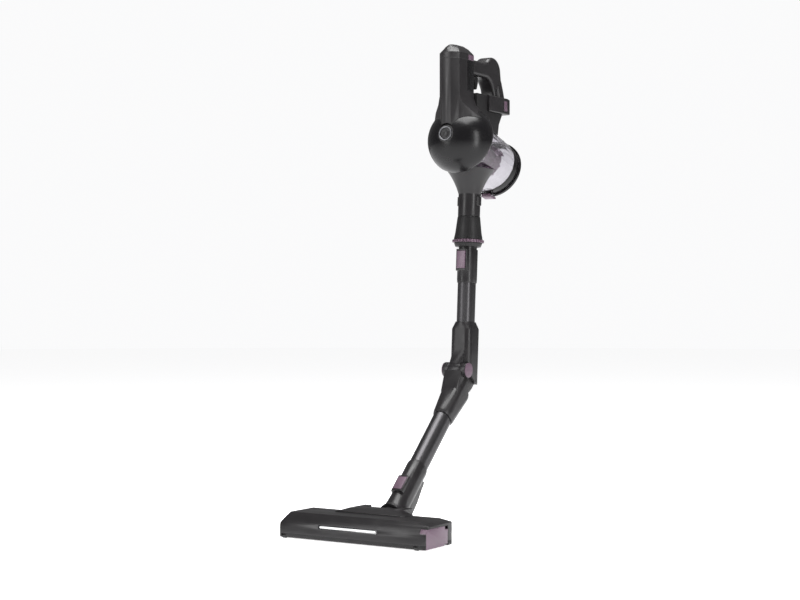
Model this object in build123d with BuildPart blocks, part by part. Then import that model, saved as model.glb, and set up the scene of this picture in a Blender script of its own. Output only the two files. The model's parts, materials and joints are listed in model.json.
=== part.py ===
"""Cordless stick vacuum: floor head, two-part wand with a bending knee, and hand unit.

Millimetres, +Z up, +X to the user's left when the head points away along -Y.
The origin is on the floor, under the middle of the head's sole.
"""
import os
from math import cos, radians, sin, tan

from build123d import *

os.makedirs("parts", exist_ok=True)

# ---- driving dimensions -------------------------------------------------------------
wall = 2.2
gap = 0.3                 # between parts that slide or swing past each other
shaft_gap = 0.05          # radial clearance of pins and shafts in their bores

# floor head
head_half = 166.0
head_front = -50.0
head_rear = 51.0
head_top = 50.0
ridge_y = -31.0
sole_z = 2.0
base_top = 10.0
cap_start = 152.0         # where the removable end cap begins
cap_front = -44.5
brush_y, brush_z = -25.0, 19.5
bristle_r = 18.0
core_r = 12.0
brush_left, brush_right = -146.0, 140.0
motor_y, motor_z = 10.5, 30.0
pulley_x = -157.0
brush_pulley_r, motor_pulley_r = 9.0, 5.0
pulley_width = 8.0
wheel_r, wheel_x, wheel_y = 11.0, 118.0, 36.5
roller_r, roller_y = 4.0, -45.5
roller_left, roller_right = -155.0, 146.0
axle_r = 1.5

# neck
pitch_y, pitch_z = 66.0, 33.0
barrel_r, barrel_half = 24.0, 38.0
trunnion_r = 7.0
spigot_r = 19.0
duct_r = 15.0

# wand: both tubes are obround, long way front to back
tube_depth, tube_width, tube_wall = 43.0, 34.0, 1.5
collar_depth, collar_width = 48.0, 39.0
knee_y, knee_z = 351.2, 315.6
knee_offset = 30.0        # from the knee pin to either tube's axis
upper_lean, lower_lean = 3.5, 46.5
lower_reach = 368.7       # neck elbow to knee, along the lower tube
knuckle_r, knuckle_half, centre_knuckle_half = 16.0, 27.0, 13.5
knee_pin_r = 5.0
cowl_inner_r, cowl_outer_r = 16.6, 51.5
cowl_low, cowl_high = -36.0, 50.0      # angles about the pin, from the rearward direction
guard_low = -32.0

# heights along the lower frame (neck and lower tube) and the upper frame (upper tube)
neck_socket, neck_top = 96.0, 125.0
button_low, button_high, button_width = 42.0, 73.0, 20.0
housing_start, tube_end = 258.0, 300.0
upper_housing_top = 102.5
upper_tube_low, upper_tube_high = 62.0, 210.0
collar_low, collar_high = 185.5, 256.0
collar_button_low, collar_button_high = 215.0, 252.0
nozzle_spigot_low = 218.0

# hand unit
ball_y, ball_z = 371.0, 799.0
ball_r, ball_depth = 73.0, 69.0
axis_drop = 19.6          # the bin's axis points back and down by this angle
shoulder_r, shoulder_w = 60.0, 20.0
bin_wall = 2.2
bin_front_r, bin_rear_r = 57.5, 60.0
bin_front_w, bin_rear_w = 20.6, 148.0
lid_r, lid_w = 63.0, 149.0
column_half, column_front, column_rear = 24.0, 305.0, 385.0
column_top, cap_top = 966.0, 996.0
fairing_half, fairing_low, fairing_high = 56.0, 840.0, 890.0
grip_half = 18.0
battery_half, battery_low, battery_high = 34.5, 866.0, 901.0
battery_front, battery_rear = 430.0, 520.0
dock_half = 29.0
# screws on the hand unit's right flank, as (Y, Z): two in the column, two in the dock
hand_screw_spots = [(340, 890), (340, 950), (400, 888), (452, 856)]

# ---- shared frames ------------------------------------------------------------------


def lean_plane(y, z, lean):
    """A plane whose normal leans back from +Z; its own x is +X and its own y points rearward."""
    tilt = radians(lean)
    return Plane(origin=(0, y, z), x_dir=(1, 0, 0), z_dir=(0, sin(tilt), cos(tilt)))


def rearward(lean):
    """Unit vector (Y, Z) at right angles to a leaning tube, pointing rearward."""
    tilt = radians(lean)
    return cos(tilt), -sin(tilt)


upper_back = rearward(upper_lean)
lower_back = rearward(lower_lean)
# upper frame: its height 0 is level with the knee pin
upper = lean_plane(
    knee_y + knee_offset * upper_back[0], knee_z + knee_offset * upper_back[1], upper_lean
)
# lower frame: its height 0 is the neck's elbow
elbow_y = knee_y + knee_offset * lower_back[0] - lower_reach * sin(radians(lower_lean))
elbow_z = knee_z + knee_offset * lower_back[1] - lower_reach * cos(radians(lower_lean))
lower = lean_plane(elbow_y, elbow_z, lower_lean)
arm_vector = Vector(0, elbow_y - pitch_y, elbow_z - pitch_z)
arm_length = arm_vector.length
arm = Plane(origin=(0, pitch_y, pitch_z), x_dir=(1, 0, 0), z_dir=arm_vector.normalized())
# drum frame: z runs back and down through the motor and the bin, y points down
drum_dir = Vector(0, cos(radians(axis_drop)), -sin(radians(axis_drop)))
drum = Plane(origin=(0, ball_y, ball_z), x_dir=(1, 0, 0), z_dir=drum_dir)
drum_axis = Axis((0, ball_y, ball_z), drum_dir)
# section plane of the drum: x is the radius, y the distance back along the axis
drum_section = Plane(
    origin=(0, ball_y, ball_z),
    x_dir=(1, 0, 0),
    z_dir=(0, sin(radians(axis_drop)), cos(radians(axis_drop))),
)
side = Plane.YZ           # side view: x is Y, y is Z


def obround(plane, depth, width):
    """A slot-shaped face on a plane, its long way front to back."""
    with BuildSketch(plane) as face:
        SlotOverall(depth, width, rotation=90)
    return face.sketch


def disc(plane, radius):
    """A round face on a plane."""
    with BuildSketch(plane) as face:
        Circle(radius)
    return face.sketch


def shaft(x_low, x_high, y, z, radius):
    """A solid cylinder along X, between two X values."""
    with BuildPart() as rod:
        with BuildSketch(Plane.YZ.offset(x_low)):
            with Locations((y, z)):
                Circle(radius)
        extrude(amount=x_high - x_low)
    return rod.part


def block(x_low, x_high, y_low, y_high, z_low, z_high):
    """A box between its two corners."""
    with BuildPart() as solid:
        with Locations(((x_low + x_high) / 2, (y_low + y_high) / 2, (z_low + z_high) / 2)):
            Box(x_high - x_low, y_high - y_low, z_high - z_low)
    return solid.part


def turned(points, plane=drum_section, axis=drum_axis):
    """A solid of revolution from (radius, distance) corners."""
    with BuildPart() as solid:
        with BuildSketch(plane):
            with BuildLine():
                Polyline(*points, close=True)
            make_face()
        revolve(axis=axis)
    return solid.part


def save(piece, name):
    """Labels a finished part and writes it to its own file."""
    piece.label = name
    export_step(piece, "parts/" + name + ".step")


# ---- floor head: shells -------------------------------------------------------------


def head_solid(inset, bevel, foot_z):
    """The head's filled outline: side profile, cut by its plan and its front view."""
    rear, low, high = head_rear - inset, foot_z, head_top - inset
    half = head_half - inset
    front = head_front + inset
    with BuildPart() as solid:
        with BuildSketch(side):
            with BuildLine():
                foot = Line((front + 2, low), (rear - 3, low))
                heel = Line(foot @ 1, (rear, low + 5))
                back = Line(heel @ 1, (rear, high - 7))
                brow = Line(back @ 1, (rear - 8, high))
                top = Line(brow @ 1, (ridge_y + inset / 3, high))
                nose = ThreePointArc(top @ 1, (front + 4, 28.0), (front + 0.5, sole_z + 2))
                Line(nose @ 1, foot @ 0)
            make_face()
        extrude(amount=half, both=True)
        with BuildSketch(Plane.XY.offset(-2)):
            with BuildLine():
                Polyline(
                    (-half, front + 3),
                    (-half + 3, front),
                    (half - 12, front),
                    (half, front + 4),
                    (half, rear - 3),
                    (half - 3, rear),
                    (-half + bevel, rear),
                    (-half, rear - bevel),
                    close=True,
                )
            make_face()
        extrude(amount=head_top + 4, mode=Mode.INTERSECT)
        with BuildSketch(Plane.XZ.offset(-80)):
            with BuildLine():
                Polyline(
                    (-half, -2),
                    (-half, high - 1.55 * bevel),
                    (-half + 1.15 * bevel, high),
                    (half - 24, high),
                    (half, high - 6),
                    (half, -2),
                    close=True,
                )
            make_face()
        extrude(amount=160, mode=Mode.INTERSECT)
    return solid.part


head_outer = head_solid(0, 13.0, sole_z)
head_inner = head_solid(wall, 12.0, sole_z - 6)

cap_block = block(cap_start, head_half + 2, cap_front, 33, 0, 39)
cap_room = block(cap_start - gap, head_half + 2, cap_front - gap, 33 + gap, 0, 39 + gap)
led_block = block(-75, 58, head_front - 5, -30, 23.5, 30.5)
led_room = block(-75.2, 58.2, head_front - 5, -30, 23.3, 30.7)
screw_spots = [(-142, 40), (-70, 42), (70, 42), (142, 40), (-72, 9), (72, 9)]
window_front, window_rear = -44.5, -5.0
roller_spots = [(roller_left, roller_y), (roller_right, roller_y)]
wheel_spots = [(-wheel_x, wheel_y), (wheel_x, wheel_y)]

with BuildPart() as head_cover:
    add(head_outer)
    add(head_inner, mode=Mode.SUBTRACT)
    split(bisect_by=Plane.XY.offset(base_top), keep=Keep.TOP)
    # screw bosses hang from the roof, each with a pilot hole
    with BuildSketch(Plane.XY.offset(base_top)):
        with Locations(*screw_spots):
            Circle(3.6)
            Circle(1.5, mode=Mode.SUBTRACT)
    extrude(amount=head_top - 1.0 - base_top)
    add(cap_room, mode=Mode.SUBTRACT)
    add(led_room, mode=Mode.SUBTRACT)
    # shallow panels either side of the light strip
    for x_low, x_high in ((-137, -80), (63, 132)):
        with BuildSketch(side.offset(x_low)):
            with BuildLine():
                Polyline((-52, 33), (-44.4, 33), (-37.4, 45), (-45, 50), close=True)
            make_face()
        extrude(amount=x_high - x_low, mode=Mode.SUBTRACT)
    # pocket in the rear wall for the pivot barrel
    add(shaft(-barrel_half - 1, barrel_half + 1, pitch_y, pitch_z, barrel_r + 2), mode=Mode.SUBTRACT)
    add(block(-barrel_half - 1, barrel_half + 1, 40, 60, base_top - 1, 45), mode=Mode.SUBTRACT)
save(head_cover.part, "head_cover")

with BuildPart() as led_lens:
    add(head_outer)
    add(head_inner, mode=Mode.SUBTRACT)
    add(led_block, mode=Mode.INTERSECT)
save(led_lens.part, "led_lens")

with BuildPart() as head_base:
    add(head_outer)
    split(bisect_by=Plane.XY.offset(base_top - gap / 3), keep=Keep.BOTTOM)
    add(block(brush_left - 14, brush_right + 6, window_front, window_rear, 0, 30), mode=Mode.SUBTRACT)
    for spot_x, spot_y in roller_spots:
        add(block(spot_x - 4.6, spot_x + 4.6, -51, -40.8, 0, 8.8), mode=Mode.SUBTRACT)
        add(shaft(spot_x - 6, spot_x + 6, spot_y, roller_r, axle_r + shaft_gap), mode=Mode.SUBTRACT)
    for spot_x, spot_y in wheel_spots:
        add(block(spot_x - 5.2, spot_x + 5.2, spot_y - 12, spot_y + 12, 0, 30), mode=Mode.SUBTRACT)
        add(shaft(spot_x - 10, spot_x + 10, spot_y, wheel_r, axle_r + shaft_gap), mode=Mode.SUBTRACT)
    # recess for the soft strip behind the window
    add(block(-130.2, 130.2, -4.2, 4.2, 0, 5.2), mode=Mode.SUBTRACT)
    with BuildSketch(Plane.XY.offset(sole_z)):
        with Locations(*screw_spots):
            Circle(1.6)
    extrude(amount=10, mode=Mode.SUBTRACT)
    with BuildSketch(Plane.XY.offset(sole_z)):
        with Locations(*screw_spots):
            Circle(3.2)
    extrude(amount=2.6, mode=Mode.SUBTRACT)
    add(cap_room, mode=Mode.SUBTRACT)
    # pedestal that carries the driven end of the brush
    add(block(-163.4, -158.2, -33, -17, base_top - 0.4, 27))
    add(shaft(-164, -158, brush_y, brush_z, 3.0 + shaft_gap), mode=Mode.SUBTRACT)
save(head_base.part, "head_base")

with BuildPart() as head_screws:
    with BuildSketch(Plane.XY.offset(sole_z + 0.6)):
        with Locations(*screw_spots):
            Circle(3.0)
    extrude(amount=2.0)
    with BuildSketch(Plane.XY.offset(sole_z + 2.6)):
        with Locations(*screw_spots):
            Circle(1.45)
    extrude(amount=16)
save(head_screws.part, "head_screws")

# soft strip behind the brush window; it is what the sole rests on
with BuildPart() as sole_strip:
    add(block(-130, 130, -4, 4, 0, 5))
    with BuildSketch(Plane.XY):
        Rectangle(260, 8)
    chamfer(sole_strip.part.faces().sort_by(Axis.Z)[0].edges().filter_by(Axis.X), length=0.8)
save(sole_strip.part, "sole_strip")

with BuildPart() as end_cap:
    add(head_outer)
    add(cap_block, mode=Mode.INTERSECT)
    # finger notch at the top rear, and a raised heel
    add(block(cap_start + 5, head_half + 1, 23, 34, 32.5, 40), mode=Mode.SUBTRACT)
    add(block(cap_start - 1, head_half + 1, 22, 34, 0, 5), mode=Mode.SUBTRACT)
    # bearing pin that carries the brush's open end
    add(shaft(brush_right - 14, cap_start + 1, brush_y, brush_z, 5.0))
save(end_cap.part, "end_cap")

# ---- floor head: brush, drive and wheels --------------------------------------------

with BuildPart() as brush_core:
    add(shaft(brush_left, brush_right, brush_y, brush_z, core_r))
    # steel stub at the driven end, carried by the bearing block
    add(shaft(-162, brush_left, brush_y, brush_z, 3.0))
    add(shaft(brush_right - 16, brush_right + 1, brush_y, brush_z, 5.0 + shaft_gap), mode=Mode.SUBTRACT)
save(brush_core.part, "brush_core")

# two spiral rows of tufts, laid as straight bars that step round the core
tuft_steps = 22
tuft_pitch = (brush_right - brush_left - 8) / tuft_steps
with BuildPart() as brush_bristles:
    for row in range(2):
        for step in range(tuft_steps):
            turn = row * 180 + step * 360 / tuft_steps
            left = brush_left + 4 + step * tuft_pitch
            tuft = Plane.YZ.offset(left)
            with BuildSketch(tuft):
                with Locations((brush_y, brush_z)):
                    with PolarLocations((core_r + bristle_r) / 2, 1, start_angle=turn):
                        Rectangle(bristle_r - core_r, 6)
            extrude(amount=tuft_pitch + 0.4)
save(brush_bristles.part, "brush_bristles")

with BuildPart() as brush_pulley:
    add(shaft(pulley_x, pulley_x + pulley_width, brush_y, brush_z, brush_pulley_r))
    add(shaft(pulley_x - 1, pulley_x + 9, brush_y, brush_z, 3.0), mode=Mode.SUBTRACT)
save(brush_pulley.part, "brush_pulley")

with BuildPart() as head_motor:
    add(shaft(-138, -80, motor_y, motor_z, 13.0))
    add(shaft(-142, -138, motor_y, motor_z, 5.0))
    add(shaft(-143, -120, motor_y, motor_z, 1.6 + shaft_gap), mode=Mode.SUBTRACT)
save(head_motor.part, "head_motor")

with BuildPart() as motor_pulley:
    add(shaft(pulley_x, pulley_x + pulley_width, motor_y, motor_z, motor_pulley_r))
    add(shaft(pulley_x + pulley_width, -121, motor_y, motor_z, 1.6))
save(motor_pulley.part, "motor_pulley")


def belt_loop(clearance):
    """The outline that wraps both pulleys at a distance."""
    with BuildSketch(side.offset(pulley_x + 1)) as loop:
        with BuildLine():
            CenterArc((brush_y, brush_z), brush_pulley_r + clearance, 0, 360)
            CenterArc((motor_y, motor_z), motor_pulley_r + clearance, 0, 360)
        make_hull()
    return loop.sketch


with BuildPart() as drive_belt:
    extrude(belt_loop(gap + 1.4), amount=pulley_width - 2)
    extrude(belt_loop(gap), amount=pulley_width - 2, mode=Mode.SUBTRACT)
save(drive_belt.part, "drive_belt")

# arched wall behind the brush, open to the suction duct
with BuildPart() as brush_tunnel:
    with BuildSketch(side.offset(brush_left - 1)):
        with Locations((brush_y, brush_z)):
            Circle(21.2)
            Circle(19.4, mode=Mode.SUBTRACT)
        with Locations((brush_y + 20, brush_z + 6)):
            Rectangle(40, 60, mode=Mode.INTERSECT)
        with Locations((brush_y, base_top - 20)):
            Rectangle(90, 40, mode=Mode.SUBTRACT)
    extrude(amount=brush_right - brush_left + 2)
    # duct from the tunnel back to the pivot barrel
    add(block(-19, 19, -6, 46, base_top + 0.3, 38))
    add(shaft(-40, 40, brush_y, brush_z, 19.4), mode=Mode.SUBTRACT)
    add(block(-17, 17, -12, 50, base_top + 2.3, 36), mode=Mode.SUBTRACT)
    add(shaft(-40, 40, pitch_y, pitch_z, barrel_r + 0.6), mode=Mode.SUBTRACT)
save(brush_tunnel.part, "brush_tunnel")


def wheel_pair(spots, radius, width):
    """Two small wheels on one line parallel to X, standing on the floor."""
    with BuildPart() as wheels:
        for spot_x, spot_y in spots:
            add(shaft(spot_x - width / 2, spot_x + width / 2, spot_y, radius, radius))
        chamfer(wheels.edges().filter_by(GeomType.CIRCLE), length=0.6)
        for spot_x, spot_y in spots:
            add(shaft(spot_x - width, spot_x + width, spot_y, radius, axle_r + shaft_gap),
                mode=Mode.SUBTRACT)
    return wheels.part


save(wheel_pair(wheel_spots, wheel_r, 9), "rear_wheels")
save(wheel_pair(roller_spots, roller_r, 8), "front_rollers")

with BuildPart() as wheel_axles:
    for spot_x, spot_y in wheel_spots:
        add(shaft(spot_x - 9, spot_x + 9, spot_y, wheel_r, axle_r))
    for spot_x, spot_y in roller_spots:
        add(shaft(spot_x - 5.4, spot_x + 5.4, spot_y, roller_r, axle_r))
save(wheel_axles.part, "wheel_axles")

# ---- neck: pivot housing, yoke and swivelling neck ----------------------------------

with BuildPart() as pivot_housing:
    # ears that carry the barrel's trunnions
    for sign in (-1, 1):
        low, high = sorted((sign * (barrel_half + 0.8), sign * 55))
        add(shaft(low, high, pitch_y, pitch_z, barrel_r))
        add(block(low, high, head_rear + 0.1, pitch_y, 12, pitch_z + barrel_r - 4))
        add(block(low, high, head_rear + 0.1, pitch_y, pitch_z - 2, head_top + 4))
    # saddle over the head's roof, sloping down to both sides
    with BuildSketch(Plane.XZ.offset(-84)):
        with BuildLine():
            Polyline((-78, head_top), (-54, 58), (54, 58), (78, head_top), close=True)
        make_face()
    extrude(amount=72)
    with BuildSketch(side.offset(-90)):
        with BuildLine():
            Polyline((0, 70), (8, head_top + 0.1), (head_rear + 1, head_top + 0.1),
                     (head_rear + 1, 44), (100, 44), (100, 70), close=True)
        make_face()
        with BuildLine():
            Polyline((5, head_top), (40, 62), (0, 62), close=True)
        make_face(mode=Mode.SUBTRACT)
        with BuildLine():
            Polyline((head_rear, 10), (head_rear, 58.1), (pitch_y, 58.1), (pitch_y + 25, 45),
                     (pitch_y + 25, 10), close=True)
        make_face()
    extrude(amount=180, mode=Mode.INTERSECT)
    # behind the head only the ears go on
    for low, high in ((-90, -55), (55, 90)):
        add(block(low, high, head_rear, 100, 0, 80), mode=Mode.SUBTRACT)
    # clearance for the barrel and for the neck when it stands upright
    add(shaft(-barrel_half - 0.8, barrel_half + 0.8, pitch_y, pitch_z, barrel_r + 0.6), mode=Mode.SUBTRACT)
    add(block(-barrel_half - 0.8, barrel_half + 0.8, pitch_y - 9, 100, 0, 70), mode=Mode.SUBTRACT)
    add(shaft(-60, 60, pitch_y, pitch_z, trunnion_r + shaft_gap), mode=Mode.SUBTRACT)
save(pivot_housing.part, "pivot_housing")

with BuildPart() as neck_yoke:
    add(shaft(-barrel_half, barrel_half, pitch_y, pitch_z, barrel_r))
    chamfer(neck_yoke.edges().filter_by(GeomType.CIRCLE), length=1.0)
    add(shaft(-54, 54, pitch_y, pitch_z, trunnion_r))
    extrude(disc(arm, spigot_r), amount=arm_length - 2)
    extrude(disc(arm.offset(-30), duct_r), amount=80, mode=Mode.SUBTRACT)
save(neck_yoke.part, "neck_yoke")

# side view of the neck: x runs rearward from the elbow, y up along the tube
neck_side = Plane(origin=(0, elbow_y, elbow_z), x_dir=(0, *lower_back), z_dir=(1, 0, 0))

with BuildPart() as neck_body:
    # collar round the yoke's spigot, elbow, and the tube that rises towards the knee
    extrude(disc(arm.offset(barrel_r + 1.3), 26), amount=arm_length - barrel_r)
    with Locations((0, elbow_y, elbow_z)):
        Sphere(26)
    loft([disc(lower.offset(4), 24.5), obround(lower.offset(34), collar_depth, collar_width)])
    extrude(obround(lower.offset(34), collar_depth, collar_width), amount=neck_top - 40)
    loft([
        obround(lower.offset(neck_top - 6), collar_depth, collar_width),
        obround(lower.offset(neck_top), collar_depth - 3, collar_width - 3),
    ])
    # boss that frames the release button on the front
    with BuildSketch(lower.offset(38)):
        with Locations((0, -18)):
            RectangleRounded(27, 20, 4)
    extrude(amount=39)
    loft([
        obround(lower.offset(77), collar_depth + 6, 26),
        obround(lower.offset(89), collar_depth - 4, 22),
    ])
    # rib along the rear that covers the wiring, deeper towards the elbow
    with BuildSketch(neck_side.offset(-12)):
        Polygon((10, 12), (28, 14), (38, 28), (36, 60), (27, 106), (10, 106), align=None)
    extrude(amount=24)
    # everything stays behind the barrel's reach
    extrude(disc(arm.offset(barrel_r + 1.3), 80), amount=-80, mode=Mode.SUBTRACT)
    # bore for the spigot, air passage and socket for the tube
    extrude(disc(arm.offset(10), spigot_r + shaft_gap), amount=arm_length - 11, mode=Mode.SUBTRACT)
    extrude(disc(arm.offset(10), duct_r), amount=arm_length - 10, mode=Mode.SUBTRACT)
    with Locations((0, elbow_y, elbow_z)):
        Sphere(duct_r, mode=Mode.SUBTRACT)
    extrude(disc(lower, duct_r), amount=neck_socket + 1, mode=Mode.SUBTRACT)
    extrude(obround(lower.offset(neck_socket), tube_depth + 2 * gap, tube_width + 2 * gap),
            amount=60, mode=Mode.SUBTRACT)
    # well for the release button
    with BuildSketch(lower.offset(button_low - 0.5)):
        with Locations((0, -25)):
            Rectangle(button_width + 1, 11)
    extrude(amount=button_high - button_low + 1, mode=Mode.SUBTRACT)
save(neck_body.part, "neck_body")


def release_button(frame, low, high):
    """A rounded push button on the front of a leaning socket."""
    with BuildPart() as button:
        with BuildSketch(frame.offset(low)):
            with Locations((0, -26.8)):
                Rectangle(button_width, 5)
        extrude(amount=high - low)
        fillet(button.edges().group_by(Axis.Y)[0], radius=1.2)
    return button.part


save(release_button(lower, button_low, button_high), "head_release_button")

# gloss strip over the wiring rib
with BuildPart() as neck_strip:
    with BuildSketch(neck_side.offset(-6)):
        Polygon((38.1, 29), (36.1, 60), (27.3, 105), (29.1, 105), (38.1, 60), (40.1, 29), align=None)
    extrude(amount=12)
save(neck_strip.part, "neck_strip")

# ---- lower wand ---------------------------------------------------------------------

with BuildPart() as lower_tube:
    extrude(obround(lower.offset(neck_socket + 1), tube_depth, tube_width), amount=tube_end - neck_socket)
    extrude(obround(lower.offset(neck_socket), tube_depth - 2 * tube_wall, tube_width - 2 * tube_wall),
            amount=tube_end, mode=Mode.SUBTRACT)
save(lower_tube.part, "lower_tube")

# polar frame of the knee: the sketch plane's x runs rearward from the pin, its y up along the tube
lower_polar = Plane(origin=(-60, knee_y, knee_z), x_dir=(0, *lower_back), z_dir=(1, 0, 0))
upper_polar = Plane(origin=(-60, knee_y, knee_z), x_dir=(0, *upper_back), z_dir=(1, 0, 0))


def sector(plane, inner, outer, start, end, half_width):
    """A ring sector about the knee pin, symmetrical in X."""
    with BuildPart() as solid:
        with BuildSketch(plane.offset(60 - half_width)):
            with BuildLine():
                near = CenterArc((0, 0), inner, start, end - start)
                far = CenterArc((0, 0), outer, start, end - start)
                Line(near @ 0, far @ 0)
                Line(near @ 1, far @ 1)
            make_face()
        extrude(amount=2 * half_width)
    return solid.part


cowl_half = tube_width / 2
with BuildPart() as knee_lower:
    # housing: a rim round the tube, swelling to the full body below the pin
    loft([
        obround(lower.offset(housing_start), tube_depth + 4, tube_width + 4),
        obround(lower.offset(housing_start + 6), tube_depth + 7, tube_width + 7),
    ])
    with BuildSketch(lower.offset(housing_start + 6)):
        SlotOverall(tube_depth + 7, tube_width + 7, rotation=90)
    with BuildSketch(lower.offset(housing_start + 70)):
        RectangleRounded(48, 51, 14)
    loft()
    with BuildSketch(lower.offset(housing_start + 70)):
        RectangleRounded(48, 51, 14)
    extrude(amount=46)
    # the body ends short of the upper housing's cheeks; above that only the cowl goes on
    add(sector(lower_polar, 0.1, 90, cowl_low, 110, 40), mode=Mode.SUBTRACT)
    add(block(-40, 40, knee_y - 60, knee_y + 90, knee_z + 6, knee_z + 90), mode=Mode.SUBTRACT)
    add(sector(lower_polar, cowl_inner_r, cowl_outer_r, cowl_low - 8, cowl_high, cowl_half))
    # outer knuckles, joined to the body by webs
    for sign in (-1, 1):
        low, high = sorted((sign * (centre_knuckle_half + gap), sign * knuckle_half))
        add(shaft(low, high, knee_y, knee_z, knuckle_r))
    # chin under the barrel, sloping down to the front of the body
    with BuildSketch(lower_polar.offset(60 - 20)):
        Polygon((-11.6, -11.6), (-9, -17), (9, -54), (18, -54), (15, -11.2), (0, 0), align=None)
    extrude(amount=40)
    # room for the upper housing's centre knuckle
    add(shaft(-centre_knuckle_half - gap, centre_knuckle_half + gap, knee_y, knee_z, knuckle_r + gap),
        mode=Mode.SUBTRACT)
    # air passage: socket for the tube, straight duct, then the hollow cowl
    extrude(obround(lower.offset(housing_start - 2), tube_depth + 0.02, tube_width + 0.02),
            amount=tube_end - housing_start + 3, mode=Mode.SUBTRACT)
    extrude(obround(lower.offset(tube_end), 33, 29).moved(Location((0, 0.9, 0))),
            amount=lower_reach - tube_end - 14, mode=Mode.SUBTRACT)
    add(sector(lower_polar, cowl_inner_r + 2, cowl_outer_r - 2, cowl_low - 4, cowl_high + 2,
               cowl_half - 2), mode=Mode.SUBTRACT)
    add(shaft(-40, 40, knee_y, knee_z, knee_pin_r + shaft_gap), mode=Mode.SUBTRACT)
save(knee_lower.part, "knee_lower_housing")

# ---- upper wand ---------------------------------------------------------------------

with BuildPart() as upper_tube:
    extrude(obround(upper.offset(upper_tube_low), tube_depth, tube_width),
            amount=upper_tube_high - upper_tube_low)
    extrude(obround(upper.offset(upper_tube_low - 1), tube_depth - 2 * tube_wall, tube_width - 2 * tube_wall),
            amount=upper_tube_high, mode=Mode.SUBTRACT)
save(upper_tube.part, "upper_tube")

with BuildPart() as knee_upper:
    with BuildSketch(upper.offset(-40)):
        RectangleRounded(48, 51, 14)
    extrude(amount=upper_housing_top - 15 + 40)
    with BuildSketch(upper.offset(upper_housing_top - 15)):
        RectangleRounded(48, 51, 14)
    with BuildSketch(upper.offset(upper_housing_top)):
        SlotOverall(tube_depth + 4, tube_width + 4, rotation=90)
    loft()
    # guard: wraps round the back of the cowl, concentric with the pin
    with BuildSketch(upper_polar.offset(60 - 24)):
        Circle(cowl_outer_r + 4)
        Rectangle(120, 200, align=(Align.MIN, Align.MIN), mode=Mode.SUBTRACT)
        Rectangle(120, 200, align=(Align.MAX, Align.CENTER), mode=Mode.SUBTRACT)
        Polygon((0, 0), (90, 90 * tan(radians(guard_low))), (90, -90), (0, -90), align=None,
                mode=Mode.SUBTRACT)
    extrude(amount=48)
    with BuildSketch(upper.offset(-60)):
        RectangleRounded(48, 51, 14)
    extrude(amount=upper_housing_top + 70, mode=Mode.INTERSECT)
    # nothing of the housing hangs below the guard, or in front of the cowl below the web
    add(sector(upper_polar, 0.1, 90, -200, guard_low, 40), mode=Mode.SUBTRACT)
    add(sector(upper_polar, cowl_outer_r + 4, 120, guard_low - 1, 0, 40), mode=Mode.SUBTRACT)
    add(sector(upper_polar, 0.1, 90, 150, 200, 40), mode=Mode.SUBTRACT)
    # room for the cowl and for the lower housing's outer knuckles
    add(sector(upper_polar, 0.1, cowl_outer_r + 0.6, -60, cowl_high + 3, cowl_half + 0.5),
        mode=Mode.SUBTRACT)
    add(shaft(-40, 40, knee_y, knee_z, knuckle_r + gap), mode=Mode.SUBTRACT)
    # centre knuckle and its web
    add(shaft(-centre_knuckle_half, centre_knuckle_half, knee_y, knee_z, knuckle_r))
    with BuildSketch(upper_polar.offset(60 - centre_knuckle_half)):
        Polygon((-12, 8), (-10, 14), (6, 46), (30, 46), (8, 13), align=None)
    extrude(amount=2 * centre_knuckle_half)
    add(sector(upper_polar, cowl_inner_r - gap, cowl_outer_r + 0.6, -60, cowl_high + 3, cowl_half + 0.5),
        mode=Mode.SUBTRACT)
    # air passage and socket for the tube
    extrude(obround(upper.offset(20), 33, 29), amount=60, mode=Mode.SUBTRACT)
    extrude(obround(upper.offset(upper_tube_low - 0.2), tube_depth + 0.02, tube_width + 0.02),
            amount=80, mode=Mode.SUBTRACT)
    add(shaft(-40, 40, knee_y, knee_z, knee_pin_r + shaft_gap), mode=Mode.SUBTRACT)
save(knee_upper.part, "knee_upper_housing")

save(shaft(-knuckle_half - 0.2, knuckle_half + 0.2, knee_y, knee_z, knee_pin_r), "knee_pin")

with BuildPart() as knee_discs:
    for sign in (-1, 1):
        low, high = sorted((sign * (knuckle_half + 0.3), sign * (knuckle_half + 2.0)))
        add(shaft(low, high, knee_y, knee_z, knuckle_r - 0.5))
save(knee_discs.part, "knee_discs")

with BuildPart() as wand_collar:
    loft([
        obround(upper.offset(collar_low), tube_depth + 3, tube_width + 3),
        obround(upper.offset(collar_low + 8), collar_depth - 1, collar_width - 1),
    ])
    extrude(obround(upper.offset(collar_low + 8), collar_depth - 1, collar_width - 1),
            amount=collar_high - collar_low - 8)
    with BuildSketch(upper.offset(collar_button_low - 5)):
        with Locations((0, -18)):
            RectangleRounded(27, 20, 4)
    extrude(amount=collar_high - collar_button_low + 5)
    extrude(obround(upper.offset(collar_low - 1), tube_depth + 0.02, tube_width + 0.02),
            amount=upper_tube_high - collar_low + 1, mode=Mode.SUBTRACT)
    extrude(obround(upper.offset(upper_tube_high - 1), tube_depth - 4, tube_width - 4),
            amount=20, mode=Mode.SUBTRACT)
    extrude(obround(upper.offset(upper_tube_high + 3), tube_depth + 2 * gap, tube_width + 2 * gap),
            amount=80, mode=Mode.SUBTRACT)
    with BuildSketch(upper.offset(collar_button_low - 0.5)):
        with Locations((0, -25)):
            Rectangle(button_width + 1, 11)
    extrude(amount=collar_button_high - collar_button_low + 1, mode=Mode.SUBTRACT)
save(wand_collar.part, "wand_collar")
save(release_button(upper, collar_button_low, collar_button_high), "wand_release_button")

# ---- hand unit: drum, column and nozzle ---------------------------------------------


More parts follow.
